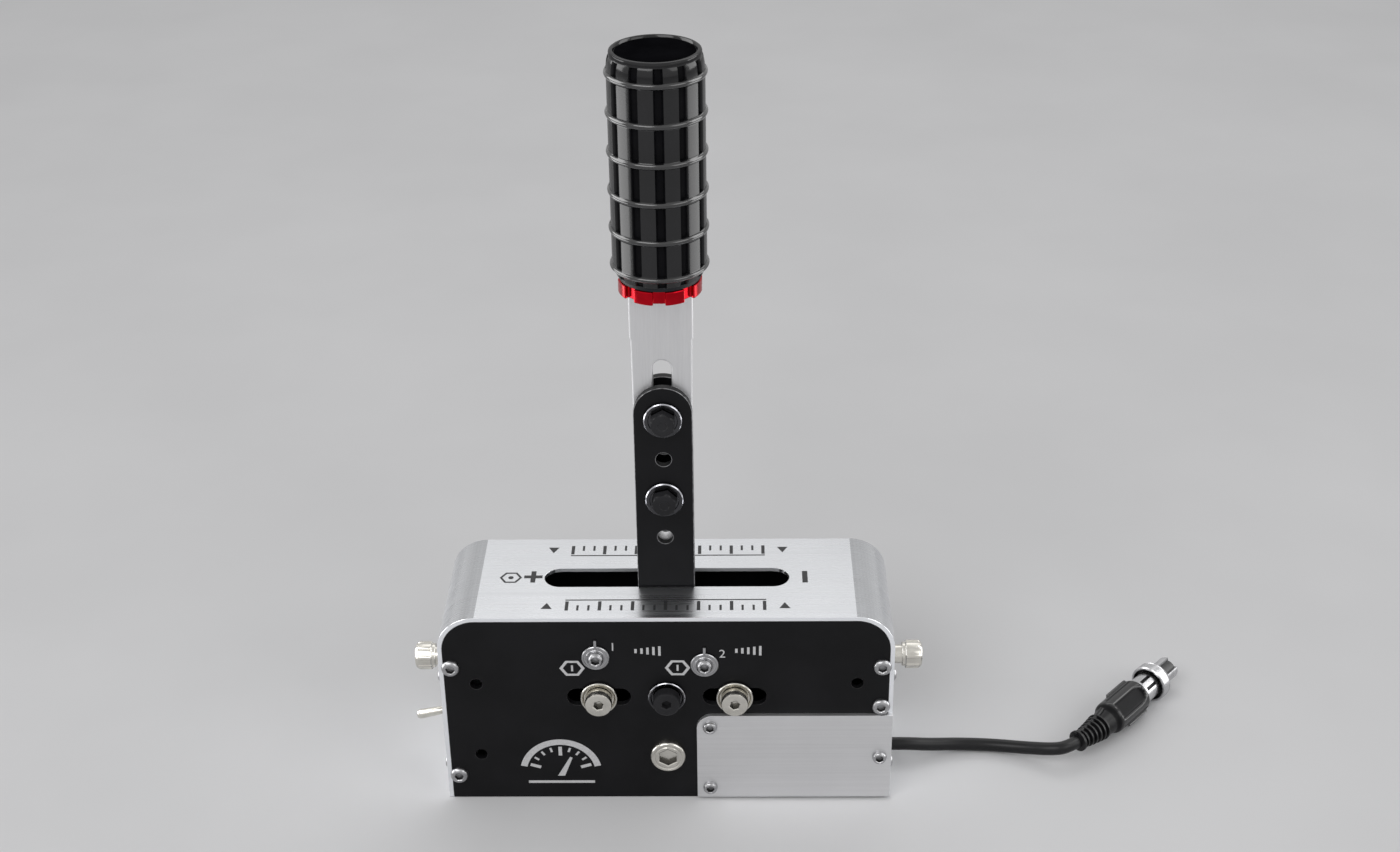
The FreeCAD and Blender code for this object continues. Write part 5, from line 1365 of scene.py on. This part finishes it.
class HANDBRAKE_OT_lever(bpy.types.Operator):
    """The two black fork bars, the silver handle bar and the bolts that clamp them"""
    bl_idname = "handbrake.lever"
    bl_label = "Lever"

    def execute(self, context):
        for name in ("fork_bar_front", "fork_bar_rear"):
            softened(name, "bar_coat", 0.0006)
        slimmer = 0.07
        silver = softened("handle_bar", "bar_aluminium", 0.0006)
        for point in silver.data.vertices:
            point.co.x *= 1 - slimmer + slimmer * eased(point.co.z, 186 * MM, 200 * MM)
        face = FORK_FACE + WASHER_THICKNESS
        flats, tall = 5.0, 4.6
        bolt = [(0, -19.5), (3.0, -19.5), (3.2, -19.2), (3.2, 0), (4.7, 0), (4.9, 0.4),
                (flats, 0.5, hexagon), (flats, tall - 0.7, hexagon), (4.95, tall - 0.25), (4.4, tall),
                (2.2, tall), (2.0, tall - 0.2), (0, tall - 0.2)]
        heights = (182, 143)
        fronts = [((0, -face, z), -Y, 0.2 + z) for z in heights]
        repeated("clamp_bolts", turned("bolt", bolt, sides=72), fronts, "black_steel", "lever",
                 ("height_bolts",), smooth=25)
        nut = [(3.25, 0), (4.8, 0), (flats, 0.3, hexagon), (flats, tall - 0.5, hexagon), (4.8, tall),
               (3.5, tall), (3.25, tall - 0.3)]
        backs = [((0, face, z), Y, 0.4) for z in heights]
        repeated("clamp_nuts", turned("nut", nut, sides=72, ring=True), backs, "black_steel", "lever",
                 ("height_nuts",), smooth=25)
        washer = [(3.3, 0), (7.9, 0), (8.2, 0.3), (8.2, 1.2), (7.8, WASHER_THICKNESS),
                  (6.4, WASHER_THICKNESS), (6.1, 1.35), (3.3, 1.35)]
        places = [((0, way * FORK_FACE, z), Y * way, 0.0) for z in heights for way in (-1, 1)]
        # The two chamfers of the washer's face are marked for a painted highlight.
        washer = turned("washer", washer, sides=72, ring=True, bright=(3, 5))
        repeated("clamp_washers", washer, places, "dark_steel", "lever", ("height_washers",), smooth=25)
        dress(("pivot_bush",), "bronze")
        dress(("fork_spacers", "drive_pin"), "screw_steel")
        dress(("sensor_magnet",), "magnet")
        return {"FINISHED"}


# Grip

class HANDBRAKE_OT_grip(bpy.types.Operator):
    """The moulded sleeve, its core, its cap and the red collar"""
    bl_idname = "handbrake.grip"
    bl_label = "Grip"

    def execute(self, context):
        setting = grip()
        sizes = {name: getattr(setting, name) for name in
                 ("bottom", "height", "radius", "bore", "bar_turn", "groove_share", "groove_depth",
                  "rib_first", "rib_pitch", "rib_height", "rib_width", "shoulder", "shoulder_drop",
                  "foot_taper")}
        sleeve_pattern().made("grip_tube", bpy.data.meshes.new("seed"), "grip_black", "handle",
                              ("grip_sleeve",), smooth=50, bars=float(setting.bars),
                              columns=setting.bars * BAR_COLUMNS + 1, rows=SLEEVE_ROWS, **sizes)
        cap = [(0, 339.9), (17.9, 339.9), (18.35, 340.3), (18.35, 341.6), (18.2, 342.1), (17.8, 342.4),
               (17.3, 342.5), (16.7, 342.45), (16.4, 342.1), (16.2, 341.5), (15.7, 341.4), (4.0, 341.5),
               (0, 341.5)]
        lathed("grip_end", cap, Matrix(), "cap_black", "handle", ("grip_cap",), 128, 30.0)
        softened("collar", "red_anodised", 0.0005)
        softened("grip_core", "core_black", 0.0003)
        return {"FINISHED"}


# Boards inside

class HANDBRAKE_OT_boards(bpy.types.Operator):
    """The sensor board and the controller board"""
    bl_idname = "handbrake.boards"
    bl_label = "Boards"

    def execute(self, context):
        dress(("sensor_board", "main_board"), "board_green")
        dress(("board_parts",), "chip_black")
        dress(("board_posts",), "post_nylon")
        return {"FINISHED"}


# Marks

def flat_mesh(outlines, at):
    """Thin prints: each outline is a polygon, or a pair of loops for a ring, in mm on a plane."""
    whole = bmesh.new()
    under, over = -0.02 * MM, 0.05 * MM
    for outline in outlines:
        loops = outline if isinstance(outline, tuple) else (outline,)
        levels = []
        for height in (under, over):
            levels.append([[whole.verts.new(at @ Vector((u * MM, v * MM, height))) for u, v in loop]
                           for loop in loops])
        for loop in range(len(loops)):
            low, high = levels[0][loop], levels[1][loop]
            for n in range(len(low)):
                m = (n + 1) % len(low)
                whole.faces.new((low[n], low[m], high[m], high[n]))
        for level in levels:
            if len(level) == 1:
                whole.faces.new(level[0])
            else:
                for n in range(len(level[0])):
                    m = (n + 1) % len(level[0])
                    whole.faces.new((level[0][n], level[0][m], level[1][m], level[1][n]))
    bmesh.ops.recalc_face_normals(whole, faces=whole.faces)
    mesh = bpy.data.meshes.new("print")
    whole.to_mesh(mesh)
    whole.free()
    return mesh


def bar(x, y, wide, tall):
    """The outline of an upright rectangle about a point."""
    return [(x - wide / 2, y - tall / 2), (x + wide / 2, y - tall / 2),
            (x + wide / 2, y + tall / 2), (x - wide / 2, y + tall / 2)]


def plus(x, y, wide, tall, stroke):
    """The outline of a plus sign about a point."""
    a, b, s = wide / 2, tall / 2, stroke / 2
    corners = [(-s, -b), (s, -b), (s, -s), (a, -s), (a, s), (s, s), (s, b), (-s, b), (-s, s), (-a, s),
               (-a, -s), (-s, -s)]
    return [(x + u, y + v) for u, v in corners]


def loop_of(x, y, radius, corners, turn=0.0, squeeze=1.0):
    """A regular outline about a point, squeezed in height."""
    return [(x + radius * cos(turn + 2 * pi * n / corners),
             y + radius * squeeze * sin(turn + 2 * pi * n / corners)) for n in range(corners)]


def arc_band(x, y, inner, outer, start, end, steps=40):
    """The outline of a curved band between two angles in degrees."""
    angles = [radians(start + (end - start) * n / steps) for n in range(steps + 1)]
    return ([(x + outer * cos(a), y + outer * sin(a)) for a in angles]
            + [(x + inner * cos(a), y + inner * sin(a)) for a in reversed(angles)])


def numeral(text, x, y, tall, at):
    """A printed number as a thin mesh."""
    letters = bpy.data.curves.new("numeral", "FONT")
    letters.body = text
    letters.size = tall * MM
    letters.align_x, letters.align_y = "CENTER", "CENTER"
    letters.extrude = 0.05 * MM
    thing = bpy.data.objects.new("numeral", letters)
    bpy.context.scene.collection.objects.link(thing)
    bpy.context.view_layer.update()
    mesh = bpy.data.meshes.new_from_object(thing)
    bpy.data.objects.remove(thing)
    mesh.transform(at @ Matrix.Translation((x * MM, y * MM, 0)))
    return mesh


class HANDBRAKE_OT_marks(bpy.types.Operator):
    """The plain printed marks on the cover and the front plate"""
    bl_idname = "handbrake.marks"
    bl_label = "Marks"

    def execute(self, context):
        top = Matrix.Translation((0, 0, COVER_TOP * MM))
        marks = [plus(-59.6, 0.6, 8.2, 9.0, 2.2), bar(61.5, 0, 2.4, 9.2),
                 (loop_of(-69.6, 0, 5.0, 6, 0, 0.95), loop_of(-69.6, 0, 3.9, 6, 0, 0.95)),
                 loop_of(-69.6, 0, 1.2, 20)]
        for way in (-1, 1):
            middle = way * 22.6
            for step in range(-9, 10):
                long = step % 3 == 0
                tall = 7.0 if long else 4.0
                marks.append(bar(step * 4.8, middle + way * (3.5 - tall / 2), 1.5 if long else 1.0, tall))
            marks.append(bar(0, middle - way * 4.6, 88.0, 0.7))
            for side in (-1, 1):
                x = side * 52.0
                marks.append([(x - 2.4, middle + 2.2 * way), (x + 2.4, middle + 2.2 * way),
                              (x, middle - 2.4 * way)])
        piece("cover_marks", flat_mesh(marks, top), "dark_print", "housing")

        front = Matrix.Translation((0, -HALF_DEPTH * MM, 0)) @ Matrix.Rotation(pi / 2, 4, "X")
        pale = []
        for x, z in ((-41.3, 71.5), (5.0, 71.6)):
            pale.append((loop_of(x, z, 5.6, 6, 0, 0.82), loop_of(x, z, 4.1, 6, 0, 0.82)))
            pale.append(bar(x, z, 0.9, 3.2))
        for x in (-8.0, 36.0):
            for step in range(5):
                pale.append(bar(x + (step - 2) * 2.6, 80.6, 1.1, 2.2 + 0.7 * step))
        x, z = -48.5, 14.0
        pale.append(arc_band(x, z, 15.5, 18.5, 12, 168))
        for step in range(9):
            spoke = radians(18 + 18 * step)
            inner = 9.5 if step % 4 == 0 else 12.0
            side = Vector((-sin(spoke), cos(spoke))) * (0.8 if step % 4 == 0 else 0.5)
            low, high = Vector((cos(spoke), sin(spoke))) * inner, Vector((cos(spoke), sin(spoke))) * 14.4
            pale.append([(x + p.x, z + p.y) for p in (low - side, low + side, high + side, high - side)])
        pale.append([(x - 1.6, z - 2.0), (x + 1.6, z - 2.0), (x + 5.4, z + 8.2), (x + 4.3, z + 8.7)])
        pale.append(bar(x, z - 5.4, 30.0, 1.4))
        ink = flat_mesh(pale, front)
        digits = [numeral("1", -23.2, 82.6, 6.0, front), numeral("2", 24.6, 78.8, 6.0, front)]
        piece("plate_marks", joined("plate_marks", ink, *digits), "pale_print", "housing")
        return {"FINISHED"}


class HANDBRAKE_PT_panel(bpy.types.Panel):
    """The pieces and the studio of the handbrake"""
    bl_idname = "HANDBRAKE_PT_panel"
    bl_label = "Handbrake"
    bl_space_type = "VIEW_3D"
    bl_region_type = "UI"
    bl_category = "Handbrake"

    def draw(self, context):
        layout = self.layout
        for kind in STEPS:
            layout.operator(kind.bl_idname)
        for group in ("studio", "finishes", "grip", "plug", "hardware"):
            box = layout.box()
            box.label(text=group.capitalize())
            settings = getattr(context.scene, "handbrake_" + group)
            for name in settings.bl_rna.properties.keys():
                if name not in ("rna_type", "name"):
                    box.prop(settings, name)


SETTINGS = {"studio": StudioSettings, "finishes": FinishSettings, "grip": GripSettings,
            "plug": PlugSettings, "hardware": HardwareSettings}
STEPS = (HANDBRAKE_OT_studio, HANDBRAKE_OT_cord, HANDBRAKE_OT_housing, HANDBRAKE_OT_screws,
         HANDBRAKE_OT_pins, HANDBRAKE_OT_selectors, HANDBRAKE_OT_knobs, HANDBRAKE_OT_toggle,
         HANDBRAKE_OT_lever, HANDBRAKE_OT_grip, HANDBRAKE_OT_boards, HANDBRAKE_OT_marks)


def register():
    for kind in (*SETTINGS.values(), *STEPS, HANDBRAKE_PT_panel):
        bpy.utils.register_class(kind)
    for name, kind in SETTINGS.items():
        setattr(bpy.types.Scene, "handbrake_" + name, bpy.props.PointerProperty(type=kind))


def unregister():
    for name in SETTINGS:
        delattr(bpy.types.Scene, "handbrake_" + name)
    for kind in reversed((*SETTINGS.values(), *STEPS, HANDBRAKE_PT_panel)):
        bpy.utils.unregister_class(kind)


def main():
    register()
    FINISH.update(make_finishes())
    for kind in STEPS:
        family, name = kind.bl_idname.split(".")
        getattr(getattr(bpy.ops, family), name)()


if __name__ == "__main__":
    main()
